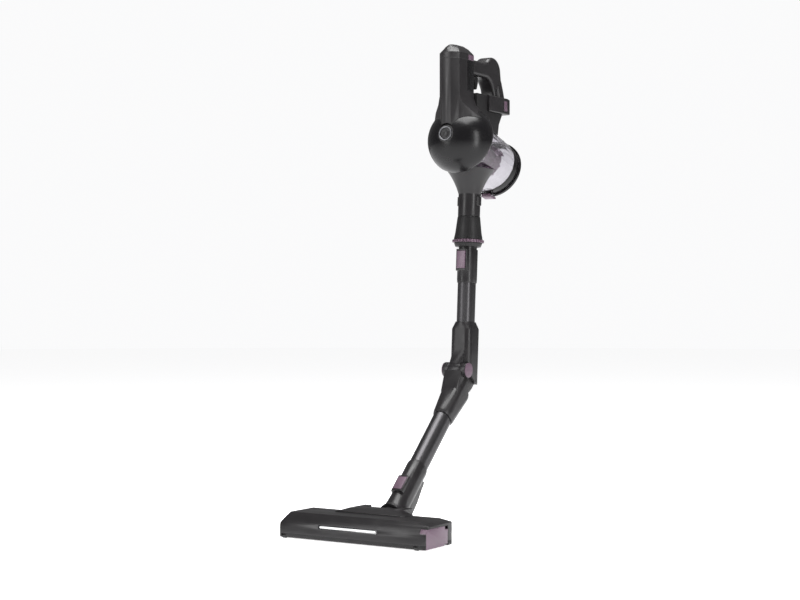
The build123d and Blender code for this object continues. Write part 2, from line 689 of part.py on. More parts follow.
def dome_solid(radius, depth):
    """The front half of the drum, filled: half an ellipsoid about the drum's axis."""
    with BuildPart() as solid:
        with BuildSketch(drum_section):
            with BuildLine():
                rim = EllipticalCenterArc((0, 0), radius, depth, start_angle=270, arc_size=90)
                Line(rim @ 0, (0, 0))
                Line((0, 0), rim @ 1)
            make_face()
        revolve(axis=drum_axis)
    return solid.part


dome_outer = dome_solid(ball_r, ball_depth)
shoulder_outer = turned([(0, gap / 3), (ball_r, gap / 3), (ball_r - 1.5, 6), (shoulder_r + 5, 13),
                         (shoulder_r, shoulder_w), (0, shoulder_w)])
drum_room = dome_solid(ball_r + gap, ball_depth + gap) + turned(
    [(0, -0.1), (ball_r + gap, -0.1), (ball_r - 1, 6.2), (shoulder_r + 5.4, 13.2),
     (shoulder_r + 0.6, shoulder_w + 0.2), (shoulder_r + 0.6, 170), (0, 170)])
badge_r = 15.0
badge_dir = Vector(0, -cos(radians(8)), sin(radians(8)))
badge_reach = 70.2
badge = Plane(
    origin=(0, ball_y + badge_reach * badge_dir.Y, ball_z + badge_reach * badge_dir.Z),
    x_dir=(1, 0, 0),
    z_dir=badge_dir,
)

with BuildPart() as front_dome:
    add(dome_outer)
    add(dome_solid(ball_r - 2.5, ball_depth - 2.5), mode=Mode.SUBTRACT)
    # flat seat for the badge, with a shallow dish round it
    extrude(disc(badge.offset(-4.0), badge_r + 0.3), amount=20, mode=Mode.SUBTRACT)
    with BuildSketch(badge.offset(-2.2)):
        Circle(21)
    extrude(amount=20, mode=Mode.SUBTRACT)
    extrude(disc(badge.offset(-4.8), badge_r + 3), amount=2.4)
    extrude(disc(badge.offset(-4.0), badge_r + 0.3), amount=20, mode=Mode.SUBTRACT)
save(front_dome.part, "front_dome")

with BuildPart() as badge_disc:
    extrude(disc(badge.offset(-3.9), badge_r), amount=4.4)
    chamfer(badge_disc.edges().filter_by(GeomType.CIRCLE).sort_by(Axis.Y)[0], length=0.8)
save(badge_disc.part, "badge_disc")

with BuildPart() as drum_shell:
    add(shoulder_outer)
    add(turned([(0, -1), (ball_r - 2.5, -1), (ball_r - 4, 5), (shoulder_r + 2.5, 11.5),
                (shoulder_r - 2.5, shoulder_w - 2.4), (0, shoulder_w - 2.4)]), mode=Mode.SUBTRACT)
    # opening for the filter, and the airway up from the nozzle
    extrude(disc(drum, 30), amount=60, mode=Mode.SUBTRACT)
save(drum_shell.part, "drum_shell")


def column_section(z, inset):
    """Plan of the column: a pointed nose in front, straight sides, rounded rear corners."""
    half = column_half - inset
    with BuildSketch(Plane.XY.offset(z)) as face:
        with BuildLine():
            Polyline(
                (0, column_front + inset * 1.1),
                (half * 0.45, column_front + inset * 1.1 + 1.6),
                (half, column_front + inset + 15),
                (half, column_rear - inset - 5),
                (half - 5, column_rear - inset),
                (-half + 5, column_rear - inset),
                (-half, column_rear - inset - 5),
                (-half, column_front + inset + 15),
                (-half * 0.45, column_front + inset * 1.1 + 1.6),
                close=True,
            )
        make_face()
    return face.sketch


def mirrored(points):
    """An outline from the points of its right half, front to back."""
    return points + [(-x, y) for x, y in reversed(points)]


# shoulders that widen the column's foot where it runs on to the drum
with BuildPart() as fairing:
    with BuildSketch(Plane.XZ.offset(-column_rear + 4)):
        Polygon(*mirrored([(fairing_half, fairing_low), (fairing_half, fairing_low + 3),
                           (column_half + 6, 872), (column_half - 1, fairing_high)]), align=None)
    extrude(amount=70)
    with BuildSketch(Plane.XY.offset(fairing_low - 1)):
        Polygon(*mirrored([(12, 312), (26, 321), (44, 337), (fairing_half + 1, 354),
                           (fairing_half + 1, column_rear)]), align=None)
    extrude(amount=80, mode=Mode.INTERSECT)

inlay_low, inlay_front = 901.0, 353.0
dock_top = 900.0
with BuildPart() as column_shell:
    extrude(column_section(815, 0), amount=column_top - 815)
    # the column's foot widens over the drum like a drop
    add(fairing)
    add(drum_room, mode=Mode.SUBTRACT)
    # keep clear of the badge and its dish
    extrude(disc(badge.offset(-20), 22), amount=60, mode=Mode.SUBTRACT)
    extrude(column_section(780, 2.4), amount=column_top - 780 + 1, mode=Mode.SUBTRACT)
    # seats for the side inlays
    for sign in (-1, 1):
        low, high = sorted((sign * (column_half - 0.9), sign * (column_half + 1)))
        add(block(low, high, inlay_front, column_rear - 5.2, inlay_low, column_top - 1), mode=Mode.SUBTRACT)
    for spot_y, spot_z in hand_screw_spots[:2]:
        add(shaft(-30, -column_half + 1.2, spot_y, spot_z, 2.8), mode=Mode.SUBTRACT)
        add(shaft(-30, -10, spot_y, spot_z, 1.5), mode=Mode.SUBTRACT)
save(column_shell.part, "column_shell")

with BuildPart() as side_inlays:
    for sign in (-1, 1):
        low, high = sorted((sign * (column_half - 0.8), sign * (column_half + 0.4)))
        add(block(low, high, inlay_front + 0.2, column_rear - 5.4, inlay_low + 0.2, column_top - 1.2))
save(side_inlays.part, "side_inlays")

power_low, power_high, power_front = column_top + 0.6, column_top + 11.5, 359.0
with BuildPart() as top_cap:
    extrude(column_section(column_top + 0.2, 0), amount=12.3)
    # crown, in steps that draw in towards the top
    crown = [(0, column_top + 12.5), (3.0, cap_top - 13), (8.5, cap_top - 6), (16.0, cap_top)]
    for (low_inset, low_z), (high_inset, high_z) in zip(crown, crown[1:]):
        loft([column_section(low_z, low_inset), column_section(high_z, high_inset)], ruled=True)
    # hollow from below, and the slot for the power button at the rear
    extrude(column_section(column_top, 2.4), amount=12, mode=Mode.SUBTRACT)
    add(block(-30, 30, power_front - 3, column_rear + 5, power_low - 0.6, power_high + 0.4),
        mode=Mode.SUBTRACT)
save(top_cap.part, "top_cap")

with BuildPart() as power_button:
    extrude(column_section(power_low, -0.3), amount=power_high - power_low)
    add(block(-30, 30, column_front - 10, power_front, 900, 1000), mode=Mode.SUBTRACT)
save(power_button.part, "power_button")

# nozzle: flares up from the spigot to the drum, in line with the upper tube
nozzle_low, nozzle_seam = 327.0, 374.0
with BuildPart() as nozzle_body:
    with BuildSketch(Plane(origin=upper.origin, x_dir=(1, 0, 0),
                           z_dir=(0, -cos(radians(upper_lean)), sin(radians(upper_lean))))):
        with BuildLine():
            tube = Line((23.5, nozzle_low), (23.5, nozzle_seam))
            flare = ThreePointArc(tube @ 1, (34.5, nozzle_seam + 27), (52, nozzle_seam + 53))
            Polyline(flare @ 1, (0, nozzle_seam + 53), (0, nozzle_low), tube @ 0)
        make_face()
    revolve(axis=Axis(upper.origin, upper.z_dir))
    for sign in (-1, 1):
        with BuildSketch(upper.offset(350)):
            with Locations((sign * 22, 0)):
                RectangleRounded(9, 14, 3)
        extrude(amount=19)
    add(drum_room, mode=Mode.SUBTRACT)
    # spigot that plugs into the wand
    extrude(obround(upper.offset(nozzle_spigot_low), tube_depth, tube_width),
            amount=nozzle_low + 10 - nozzle_spigot_low)
    extrude(obround(upper.offset(nozzle_spigot_low - 1), tube_depth - 5, tube_width - 5),
            amount=nozzle_low - nozzle_spigot_low, mode=Mode.SUBTRACT)
    extrude(disc(upper.offset(nozzle_low - 20), 14.5), amount=160, mode=Mode.SUBTRACT)
save(nozzle_body.part, "nozzle")

# dusting brush: a skirt round the spigot, cut on a slope, with a comb of soft teeth
ring_low, ring_high = 262.0, 326.0
with BuildPart() as brush_ring:
    loft([disc(upper.offset(ring_low + 12), 31.5), disc(upper.offset(ring_low + 30), 28)])
    loft([disc(upper.offset(ring_low + 30), 28), disc(upper.offset(ring_high), 24)])
    loft([disc(upper.offset(ring_low), 27), disc(upper.offset(ring_low + 12), 31.5)])
    extrude(obround(upper.offset(ring_low - 1), tube_depth + 2 * gap, tube_width + 2 * gap),
            amount=90, mode=Mode.SUBTRACT)
    # groove that the comb sits in
    with BuildSketch(upper.offset(ring_low + 8)):
        Circle(40)
        Circle(28.5, mode=Mode.SUBTRACT)
    extrude(amount=8, mode=Mode.SUBTRACT)
save(brush_ring.part, "brush_ring")

tooth_count = 30
with BuildPart() as ring_comb:
    with BuildSketch(upper.offset(ring_low + 9)):
        Circle(30.5)
        Circle(28.8, mode=Mode.SUBTRACT)
    extrude(amount=6)
    with BuildSketch(upper.offset(ring_low + 9.5)):
        with PolarLocations(31.6, tooth_count):
            Rectangle(4.4, 2.6)
    extrude(amount=5)
save(ring_comb.part, "ring_comb")

# ---- hand unit: handle, dock and battery --------------------------------------------

with BuildPart() as post_foot:
    with BuildSketch(Plane.XZ.offset(-518)):
        Polygon((-24, battery_high + gap), (24, battery_high + gap), (21, 918), (12, 960), (-12, 960),
                (-21, 918), align=None)
    extrude(amount=26)
    chamfer(post_foot.edges().filter_by(lambda e: abs(e.center().X) > 17 and e.length > 10
                                        and abs(e.center().Y - 505) > 12), length=4)
    with BuildSketch(side.offset(-30)):
        Polygon((480, battery_high + gap), (519.6, battery_high + gap), (510, 962), (480, 962), align=None)
    extrude(amount=60, mode=Mode.INTERSECT)

with BuildPart() as handle:
    with BuildSketch(side.offset(-grip_half)):
        with BuildLine():
            under = Polyline((column_rear + 0.2, column_top - 0.2), (column_rear + 0.2, 940), (449, 940))
            elbow = ThreePointArc(under @ 1, (469, 931), (481, 903))
            foot = Polyline(elbow @ 1, (481, battery_high + 0.3), (521, battery_high + 0.3))
            rear = Line(foot @ 1, (512, 962))
            crown = ThreePointArc(rear @ 1, (489, 987), (455, 976))
            Polyline(crown @ 1, (440, 972.5), (394, 972.5), under @ 0)
        make_face()
    extrude(amount=2 * grip_half)
    long_edges = handle.edges().filter_by(lambda e: abs(abs(e.center().X) - grip_half) < 0.1)
    fillet(long_edges.filter_by(lambda e: e.center().Z > battery_high + 2
                                and e.center().Y > column_rear + 2), radius=8)
    # the rear post flares to both sides where it stands on the battery dock
    add(post_foot)
save(handle.part, "handle")

with BuildPart() as trigger:
    with BuildSketch(side.offset(-5)):
        with BuildLine():
            Polyline((414, 939.2), (432, 939.2), (431, 926), (426, 913), (421.5, 914), (423, 926), close=True)
        make_face()
    extrude(amount=10)
save(trigger.part, "trigger")

board_z = 872.0
with BuildPart() as dock_housing:
    with BuildSketch(side.offset(-dock_half)):
        with BuildLine():
            Polyline((column_rear + 0.2, dock_top), (battery_front - 0.5, dock_top),
                     (battery_front - 0.5, battery_low - 0.5), (496, battery_low - 0.5),
                     (481, 842), (472, 800), (380, 800), close=True)
        make_face()
    extrude(amount=2 * dock_half)
    add(turned([(0, -40), (ball_r + gap, -40), (ball_r + gap, 0), (ball_r - 1, 6.2),
                (shoulder_r + 5.4, 13.2), (shoulder_r + 0.6, shoulder_w + 0.2),
                (shoulder_r + 0.6, 170), (0, 170)]), mode=Mode.SUBTRACT)
    add(block(-30, 30, 300, column_rear + 0.2, 780, 1000), mode=Mode.SUBTRACT)
    # hollow for the control board
    add(block(-dock_half + 2.4, dock_half - 2.4, 398, battery_front - 3, board_z - 1, dock_top - 2.4),
        mode=Mode.SUBTRACT)
    for spot_y, spot_z in hand_screw_spots[2:]:
        add(shaft(-30, -dock_half + 1.2, spot_y, spot_z, 2.8), mode=Mode.SUBTRACT)
        add(shaft(-30, -10, spot_y, spot_z, 1.5), mode=Mode.SUBTRACT)
save(dock_housing.part, "dock_housing")

save(block(-17, 17, 400, 425, board_z, board_z + 1.6), "control_board")

with BuildPart() as battery_case:
    add(block(-battery_half, battery_half, battery_front, battery_rear, battery_low, battery_high))
    with BuildSketch(side.offset(-40)):
        with BuildLine():
            Polyline((battery_front - 1, battery_low - 1), (battery_front - 1, battery_high + 1),
                     (battery_rear - 7, battery_high + 1), (battery_rear, battery_high - 3),
                     (battery_rear + 0.5, battery_low - 1), close=True)
        make_face()
    extrude(amount=80, mode=Mode.INTERSECT)
    chamfer(battery_case.edges().filter_by(Axis.Y).group_by(Axis.Z)[-1], length=2.4)
    chamfer(battery_case.edges().filter_by(Axis.Y).group_by(Axis.Z)[0], length=1.6)
    add(block(-battery_half + 1.9, battery_half - 1.9, battery_front + 2, battery_rear - 9.5,
              battery_low + 2, battery_high - 2), mode=Mode.SUBTRACT)
    # charging socket in the rear face
    with BuildSketch(Plane.XZ.offset(-battery_rear - 1)):
        with Locations((0, battery_low + 14)):
            Circle(2.75)
    extrude(amount=9.5, mode=Mode.SUBTRACT)
    # well for the latch key on the side
    add(block(battery_half - 1.2, battery_half + 1, 494, 508, 872, 894), mode=Mode.SUBTRACT)
save(battery_case.part, "battery_case")

with BuildPart() as battery_key:
    add(block(battery_half - 0.3, battery_half + 0.9, 494.4, 507.6, 872.4, 893.6))
    chamfer(battery_key.edges().filter_by(Axis.Z).group_by(Axis.X)[-1], length=0.6)
save(battery_key.part, "battery_key")

with BuildPart() as battery_cells:
    for index in range(4):
        add(shaft(-32.5, 32.5, 442.5 + index * 19.0, (battery_low + battery_high) / 2, 9.2))
save(battery_cells.part, "battery_cells")

# ---- hand unit: motor, filters and bin ----------------------------------------------

motor_r, exhaust_r = 27.0, 48.0
with BuildPart() as motor_can:
    extrude(disc(drum.offset(-44), motor_r), amount=44)
    extrude(disc(drum.offset(-50), 12), amount=6)
    # carrier flange that seats in the drum, with holes that let the air past
    with BuildSketch(drum.offset(-8)):
        Circle(69.6)
        with PolarLocations(exhaust_r, 8):
            Circle(9, mode=Mode.SUBTRACT)
    extrude(amount=4)
    extrude(disc(drum.offset(-45), 3 + shaft_gap), amount=60, mode=Mode.SUBTRACT)
save(motor_can.part, "suction_motor")

with BuildPart() as impeller:
    extrude(disc(drum.offset(-40), 3), amount=53)
    extrude(disc(drum.offset(3), 9), amount=10)
    extrude(disc(drum.offset(3), 25), amount=1.6)
    with BuildSketch(drum.offset(4.6)):
        with PolarLocations(16.5, 9):
            Rectangle(17, 1.4, rotation=28)
    extrude(amount=8)
save(impeller.part, "impeller")

with BuildPart() as exhaust_filter:
    with BuildSketch(drum.offset(-30)):
        Circle(exhaust_r)
        Circle(motor_r + shaft_gap, mode=Mode.SUBTRACT)
    extrude(amount=18)
save(exhaust_filter.part, "exhaust_filter")

# side view of the drum: x is the distance back along its axis, y the height above it
drum_side = Plane(origin=(0, ball_y, ball_z), x_dir=drum_dir, z_dir=(1, 0, 0))
hinge_spot, latch_spot = (151.0, 65.6), (140.0, -65.6)
lid_pin_r = 1.2


def drum_disc(spot, radius, half_width):
    """A round face in the drum's side view, where a cylinder along X starts."""
    with BuildSketch(drum_side.offset(-half_width)) as face:
        with Locations(spot):
            Circle(radius)
    return face.sketch


with BuildPart() as bin_cup:
    add(turned([(0, bin_front_w), (bin_front_r, bin_front_w), (bin_rear_r, bin_rear_w), (0, bin_rear_w)]))
    add(turned([(0, bin_front_w + 2), (bin_front_r - bin_wall, bin_front_w + 2),
                (bin_rear_r - bin_wall, bin_rear_w + 1), (0, bin_rear_w + 1)]), mode=Mode.SUBTRACT)
    extrude(disc(drum.offset(15), 46), amount=20, mode=Mode.SUBTRACT)
    # inlet at the bottom, fed by the nozzle
    extrude(disc(upper.offset(nozzle_seam + 25), 14), amount=34, mode=Mode.SUBTRACT)
    # ears for the lid's hinge above, lugs for its latch below
    for sign in (-1, 1):
        low, high = sorted((sign * 7.0, sign * 11.0))
        with BuildSketch(drum_side.offset(low)):
            Polygon((134, 57.8), (147.8, 58), (148.3, 63.2), hinge_spot, (151, 68.5), (146, 67.5),
                    align=None)
            with Locations(hinge_spot):
                Circle(2.7)
        extrude(amount=high - low)
        low, high = sorted((sign * 11.4, sign * 14.4))
        with BuildSketch(drum_side.offset(low)):
            Polygon((134, -57.5), (146, -57.7), (144, -67), (140, -69), (136, -67), align=None)
        extrude(amount=high - low)
    extrude(drum_disc(hinge_spot, lid_pin_r + shaft_gap, 12), amount=24, mode=Mode.SUBTRACT)
    extrude(drum_disc(latch_spot, lid_pin_r + shaft_gap, 16), amount=32, mode=Mode.SUBTRACT)
save(bin_cup.part, "bin_cup")

with BuildPart() as cyclone_shroud:
    add(turned([(0, 38), (34, 38), (30, 96), (38, 104), (38, 108), (0, 108)]))
    add(turned([(0, 37), (31.6, 37), (27.6, 98), (27.6, 109), (0, 109)]), mode=Mode.SUBTRACT)
save(cyclone_shroud.part, "cyclone_shroud")

with BuildPart() as cyclone_cone:
    add(turned([(0, 40), (25, 40), (25, 60), (11, 124), (0, 124)]))
    add(turned([(0, 39), (23, 39), (23, 60), (9, 125), (0, 125)]), mode=Mode.SUBTRACT)
save(cyclone_cone.part, "cyclone_cone")

with BuildPart() as filter_frame:
    add(turned([(29.4, 18.5), (29.4, 24), (45.6, 24), (45.6, 37.6), (24, 37.6), (24, 34), (42, 34),
                (42, 27), (24, 27), (24, 18.5)]))
save(filter_frame.part, "filter_frame")

with BuildPart() as filter_pad:
    with BuildSketch(drum.offset(27.4)):
        Circle(41.6)
        Circle(10, mode=Mode.SUBTRACT)
    extrude(amount=6.2)
save(filter_pad.part, "filter_pad")

with BuildPart() as lid_frame:
    add(turned([(56.5, lid_w), (lid_r, lid_w), (lid_r, lid_w + 6), (lid_r - 2, lid_w + 8.5),
                (52.5, lid_w + 8.5), (52.5, lid_w + 5.2), (56.5, lid_w + 3)]))
    # knuckle between the cup's ears
    with BuildSketch(drum_side.offset(-6.7)):
        with Locations(hinge_spot):
            Circle(3.3)
        Polygon((149.6, 60), (149.2, 64), (153.8, 66), (156, 62), (156, 60), align=None)
    extrude(amount=13.4)
    extrude(drum_disc(hinge_spot, lid_pin_r + shaft_gap, 12), amount=24, mode=Mode.SUBTRACT)
save(lid_frame.part, "lid_frame")

with BuildPart() as lid_window:
    add(turned([(0, lid_w + 5.2), (52.4, lid_w + 4.2), (52.4, lid_w + 5.8), (40, lid_w + 7.2),
                (0, lid_w + 8)]))
save(lid_window.part, "lid_window")

with BuildPart() as lid_pin:
    extrude(drum_disc(hinge_spot, lid_pin_r, 11), amount=22)
save(lid_pin.part, "lid_pin")

with BuildPart() as lid_latch:
    with BuildSketch(drum_side.offset(-11)):
        Polygon((136.4, -62.6), (148.3, -63.6), (159, -63.6), (159.5, -66.5), (152, -69.5),
                (140, -70.2), (136.6, -68), align=None)
    extrude(amount=22)
    extrude(drum_disc(latch_spot, lid_pin_r, 14), amount=28)
save(lid_latch.part, "lid_latch")

# ---- last fittings ------------------------------------------------------------------

with BuildPart() as knee_lever:
    with BuildSketch(lower_polar.offset(60 - 8)):
        Polygon((57.0, -60), (57.0, -42), (58.6, -34), (61.6, -31), (63.6, -36), (62.0, -52),
                (58.4, -60), align=None)
        with Locations((57.5, -60)):
            Circle(1.2)
    extrude(amount=16)
save(knee_lever.part, "knee_lever")

screw_faces = [column_half, column_half, dock_half, dock_half]
with BuildPart() as hand_screws:
    for (spot_y, spot_z), face_x in zip(hand_screw_spots, screw_faces):
        add(shaft(-face_x + 0.2, -face_x + 1.2, spot_y, spot_z, 2.7))
        add(shaft(-face_x + 1.2, -face_x + 7, spot_y, spot_z, 1.4))
save(hand_screws.part, "hand_screws")
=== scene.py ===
import json
import math
import random

import bmesh
import bpy
from mathutils import Matrix, Vector
from mathutils.bvhtree import BVHTree

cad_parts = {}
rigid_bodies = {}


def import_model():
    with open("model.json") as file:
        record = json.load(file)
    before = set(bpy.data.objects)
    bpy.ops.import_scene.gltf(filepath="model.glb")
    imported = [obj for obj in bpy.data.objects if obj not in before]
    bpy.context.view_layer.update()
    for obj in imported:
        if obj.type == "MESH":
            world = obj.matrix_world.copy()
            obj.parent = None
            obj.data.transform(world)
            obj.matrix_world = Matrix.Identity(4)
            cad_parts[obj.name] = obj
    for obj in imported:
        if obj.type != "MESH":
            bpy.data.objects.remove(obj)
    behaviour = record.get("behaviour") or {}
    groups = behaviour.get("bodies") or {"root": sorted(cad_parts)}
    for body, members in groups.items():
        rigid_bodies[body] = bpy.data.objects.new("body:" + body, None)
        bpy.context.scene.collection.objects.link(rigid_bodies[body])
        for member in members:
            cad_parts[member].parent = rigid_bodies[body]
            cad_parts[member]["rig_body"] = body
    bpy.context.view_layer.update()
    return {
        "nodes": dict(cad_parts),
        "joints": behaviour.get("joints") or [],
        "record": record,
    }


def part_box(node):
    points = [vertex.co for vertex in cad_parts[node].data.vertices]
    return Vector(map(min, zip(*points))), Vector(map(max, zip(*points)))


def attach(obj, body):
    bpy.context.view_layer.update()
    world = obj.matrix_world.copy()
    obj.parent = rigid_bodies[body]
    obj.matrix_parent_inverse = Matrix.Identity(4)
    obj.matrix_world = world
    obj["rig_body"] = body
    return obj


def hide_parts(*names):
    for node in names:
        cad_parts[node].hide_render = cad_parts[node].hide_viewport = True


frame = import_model()
NODES = frame["nodes"]
SLOT_OF = {row["node"]: row["material_slot"] for row in frame["record"]["subparts"]}
JOINTS = {joint["name"]: joint for joint in frame["joints"]}
MM = 0.001

# ---- camera: level, looking at the vacuum's front left ------------------------------

CAMERA_PLACE = (1.668, -2.501, 0.450)
CAMERA_AZIMUTH = 32.4
CAMERA_LENS = 70.7
SENSOR_WIDTH = 36.0
CAMERA_SHIFT = 0.0075  # raises the frame without tilting the camera


def make_camera():
    data = bpy.data.cameras.new("camera")
    data.lens = CAMERA_LENS
    data.sensor_width = SENSOR_WIDTH
    data.shift_y = CAMERA_SHIFT
    camera = bpy.data.objects.new("camera", data)
    camera.location = CAMERA_PLACE
    camera.rotation_euler = (math.radians(90), 0, math.radians(CAMERA_AZIMUTH))
    bpy.context.scene.collection.objects.link(camera)
    bpy.context.scene.camera = camera


# ---- light and floor ----------------------------------------------------------------

BACKDROP_COLOUR = (0.96, 0.96, 0.965, 1)
ROOM_COLOUR = (0.93, 0.93, 0.94, 1)
ROOM_STRENGTH = 0.20
LIGHT_TARGET = (0.0, 0.2, 0.5)
# name, place, width, height and power
LIGHTS = (
    ("key_left", (-1.3, -2.4, 1.5), 0.7, 2.2, 38),
    ("strip_right", (2.6, -0.3, 0.9), 0.5, 2.4, 36),
    ("top", (0.2, 0.2, 3.0), 2.0, 2.0, 130),
)
FLOOR_RADIUS = 14.0
FLOOR_COLOUR = (0.9, 0.9, 0.91, 1)
FLOOR_ROUGHNESS = 0.7
FLOOR_GLOW = 0.77


def make_world():
    """A bright backdrop where it is seen, directly or through clear plastic, in a dimmer room."""
    world = bpy.data.worlds.new("studio")
    world.use_nodes = True
    tree = world.node_tree
    backdrop = tree.nodes["Background"]
    backdrop.inputs["Color"].default_value = BACKDROP_COLOUR
    room = tree.nodes.new("ShaderNodeBackground")
    room.inputs["Color"].default_value = ROOM_COLOUR
    room.inputs["Strength"].default_value = ROOM_STRENGTH
    choice = tree.nodes.new("ShaderNodeMixShader")
    ray = tree.nodes.new("ShaderNodeLightPath")
    seen = tree.nodes.new("ShaderNodeMath")
    seen.operation = "MAXIMUM"
    tree.links.new(ray.outputs["Is Camera Ray"], seen.inputs[0])
    tree.links.new(ray.outputs["Is Transmission Ray"], seen.inputs[1])
    tree.links.new(seen.outputs["Value"], choice.inputs["Fac"])
    tree.links.new(room.outputs["Background"], choice.inputs[1])
    tree.links.new(backdrop.outputs["Background"], choice.inputs[2])
    tree.links.new(choice.outputs["Shader"], tree.nodes["World Output"].inputs["Surface"])
    bpy.context.scene.world = world
    bpy.context.scene.view_settings.view_transform = "Standard"


def make_lights():
    for name, place, width, height, power in LIGHTS:
        data = bpy.data.lights.new(name, "AREA")
        data.shape = "RECTANGLE"
        data.size = width
        data.size_y = height
        data.energy = power
        light = bpy.data.objects.new(name, data)
        light.location = place
        aim = Vector(LIGHT_TARGET) - Vector(place)
        light.rotation_euler = aim.to_track_quat("-Z", "Y").to_euler()
        bpy.context.scene.collection.objects.link(light)


def make_floor():
    mesh = bpy.data.meshes.new("studio_floor")
    shape = bmesh.new()
    bmesh.ops.create_circle(shape, cap_ends=True, segments=96, radius=FLOOR_RADIUS)
    shape.to_mesh(mesh)
    shape.free()
    floor = bpy.data.objects.new("studio_floor", mesh)
    bpy.context.scene.collection.objects.link(floor)
    paint = bpy.data.materials.new("pale_floor")
    paint.use_nodes = True
    shader = paint.node_tree.nodes["Principled BSDF"]
    shader.inputs["Base Color"].default_value = FLOOR_COLOUR
    shader.inputs["Roughness"].default_value = FLOOR_ROUGHNESS
    shader.inputs["Emission Color"].default_value = (1, 1, 1, 1)
    shader.inputs["Emission Strength"].default_value = FLOOR_GLOW
    mesh.materials.append(paint)


# ---- materials ----------------------------------------------------------------------


MATERIALS = {}


class Finish:
    """A Principled material with helpers that add its procedural detail."""

    def __init__(self, name):
        material = bpy.data.materials.new(name)
        material.use_nodes = True
        MATERIALS[name] = material
        self.tree = material.node_tree
        self.shader = self.tree.nodes["Principled BSDF"]
        self.place = self.node("ShaderNodeTexCoord").outputs["Object"]

    def node(self, kind, **settings):
        made = self.tree.nodes.new(kind)
        for key, value in settings.items():
            setattr(made, key, value)
        return made

    def link(self, source, target):
        self.tree.links.new(source, target)

    def set(self, **values):
        """Gives the shader's inputs fixed values."""
        for key, value in values.items():
            self.shader.inputs[key.replace("_", " ")].default_value = value

    def drive(self, name, output):
        """Feeds one of the shader's inputs from an output."""
        self.link(output, self.shader.inputs[name])

    def stretched(self, stretch):
        mapping = self.node("ShaderNodeMapping")
        mapping.inputs["Scale"].default_value = stretch
        self.link(self.place, mapping.inputs["Vector"])
        return mapping.outputs["Vector"]

    def noise(self, scale, detail=3.0, stretch=None):
        texture = self.node("ShaderNodeTexNoise")
        texture.inputs["Scale"].default_value = scale
        texture.inputs["Detail"].default_value = detail
        self.link(self.stretched(stretch) if stretch else self.place, texture.inputs["Vector"])
        return texture.outputs["Fac"]

    def remap(self, value, source, target):
        """Maps one (low, high) range onto another, clamped."""
        made = self.node("ShaderNodeMapRange")
        for group, (low, high) in (("From", source), ("To", target)):
            made.inputs[group + " Min"].default_value = low
            made.inputs[group + " Max"].default_value = high
        self.link(value, made.inputs["Value"])
        return made.outputs["Result"]

    def blend(self, amount, first, second):
        """A colour between two, by a value. Each is a colour or an output."""
        made = self.node("ShaderNodeMix", data_type="RGBA")
        self.link(amount, made.inputs["Factor"])
        for socket, colour in ((made.inputs["A"], first), (made.inputs["B"], second)):
            if isinstance(colour, tuple):
                socket.default_value = (*colour, 1)
            else:
                self.link(colour, socket)
        return made.outputs["Result"]

    def product(self, first, second):
        made = self.node("ShaderNodeMath", operation="MULTIPLY")
        self.link(first, made.inputs[0])
        self.link(second, made.inputs[1])
        return made.outputs["Value"]

    def edges(self, radius):
        """Rounds the sharp edges in shading, and returns (normal, edge mask)."""
        bevel = self.node("ShaderNodeBevel", samples=6)
        bevel.inputs["Radius"].default_value = radius
        facing = self.node("ShaderNodeVectorMath", operation="DOT_PRODUCT")
        self.link(bevel.outputs["Normal"], facing.inputs[0])
        self.link(self.node("ShaderNodeNewGeometry").outputs["Normal"], facing.inputs[1])
        return bevel.outputs["Normal"], self.remap(facing.outputs["Value"], (0.80, 0.985), (1.0, 0.0))

    def bump(self, height, strength, distance, normal=None):
        made = self.node("ShaderNodeBump")
        made.inputs["Strength"].default_value = strength
        made.inputs["Distance"].default_value = distance
        self.link(height, made.inputs["Height"])
        if normal:
            self.link(normal, made.inputs["Normal"])
        self.drive("Normal", made.outputs["Normal"])


def scaled(colour, factor):
    return tuple(min(1.0, channel * factor) for channel in colour)


def moulded(name, colour, roughness, grain=0.10, coat=0.0, wear=0.55, edge=0.0009, specular=0.5):
    """Moulded plastic: fine grain, cloudy colour, smudged gloss and paler rubbed edges."""
    finish = Finish(name)
    normal, edge_mask = finish.edges(edge)
    clouds = finish.remap(finish.noise(16.0, 4.0), (0.35, 0.65), (0.0, 1.0))
    body = finish.blend(clouds, scaled(colour, 0.90), scaled(colour, 1.10))
    patches = finish.remap(finish.noise(140.0, 2.0), (0.35, 0.7), (0.1, wear))
    rubbed = finish.product(edge_mask, patches)
    finish.drive("Base Color", finish.blend(rubbed, body, scaled(colour, 1.9)))
    smudges = finish.remap(finish.noise(34.0, 5.0), (0.3, 0.7), (roughness * 0.82, roughness * 1.2))
    finish.drive("Roughness", smudges)
    finish.bump(finish.noise(1900.0, 2.0), grain, 0.00012, normal)
    finish.set(Coat_Weight=coat, Coat_Roughness=0.08, Specular_IOR_Level=specular)


def metal(name, colour, roughness, stretch=(1, 1, 1), bump=0.05):
    """Drawn or turned metal: streaks along one direction and bright edges."""
    finish = Finish(name)
    normal, edge_mask = finish.edges(0.0005)
    streaks = finish.noise(60.0, 6.0, stretch)
    bands = finish.remap(streaks, (0.3, 0.7), (0.0, 1.0))
    body = finish.blend(bands, scaled(colour, 0.86), scaled(colour, 1.12))
    patches = finish.remap(finish.noise(90.0), (0.3, 0.7), (0.15, 0.7))
    bright = finish.product(edge_mask, patches)
    finish.drive("Base Color", finish.blend(bright, body, scaled(colour, 1.6)))
    gloss = finish.remap(streaks, (0.3, 0.7), (roughness * 0.8, roughness * 1.25))
    finish.drive("Roughness", gloss)
    finish.bump(streaks, bump, 0.0001, normal)
    finish.set(Metallic=0.9)


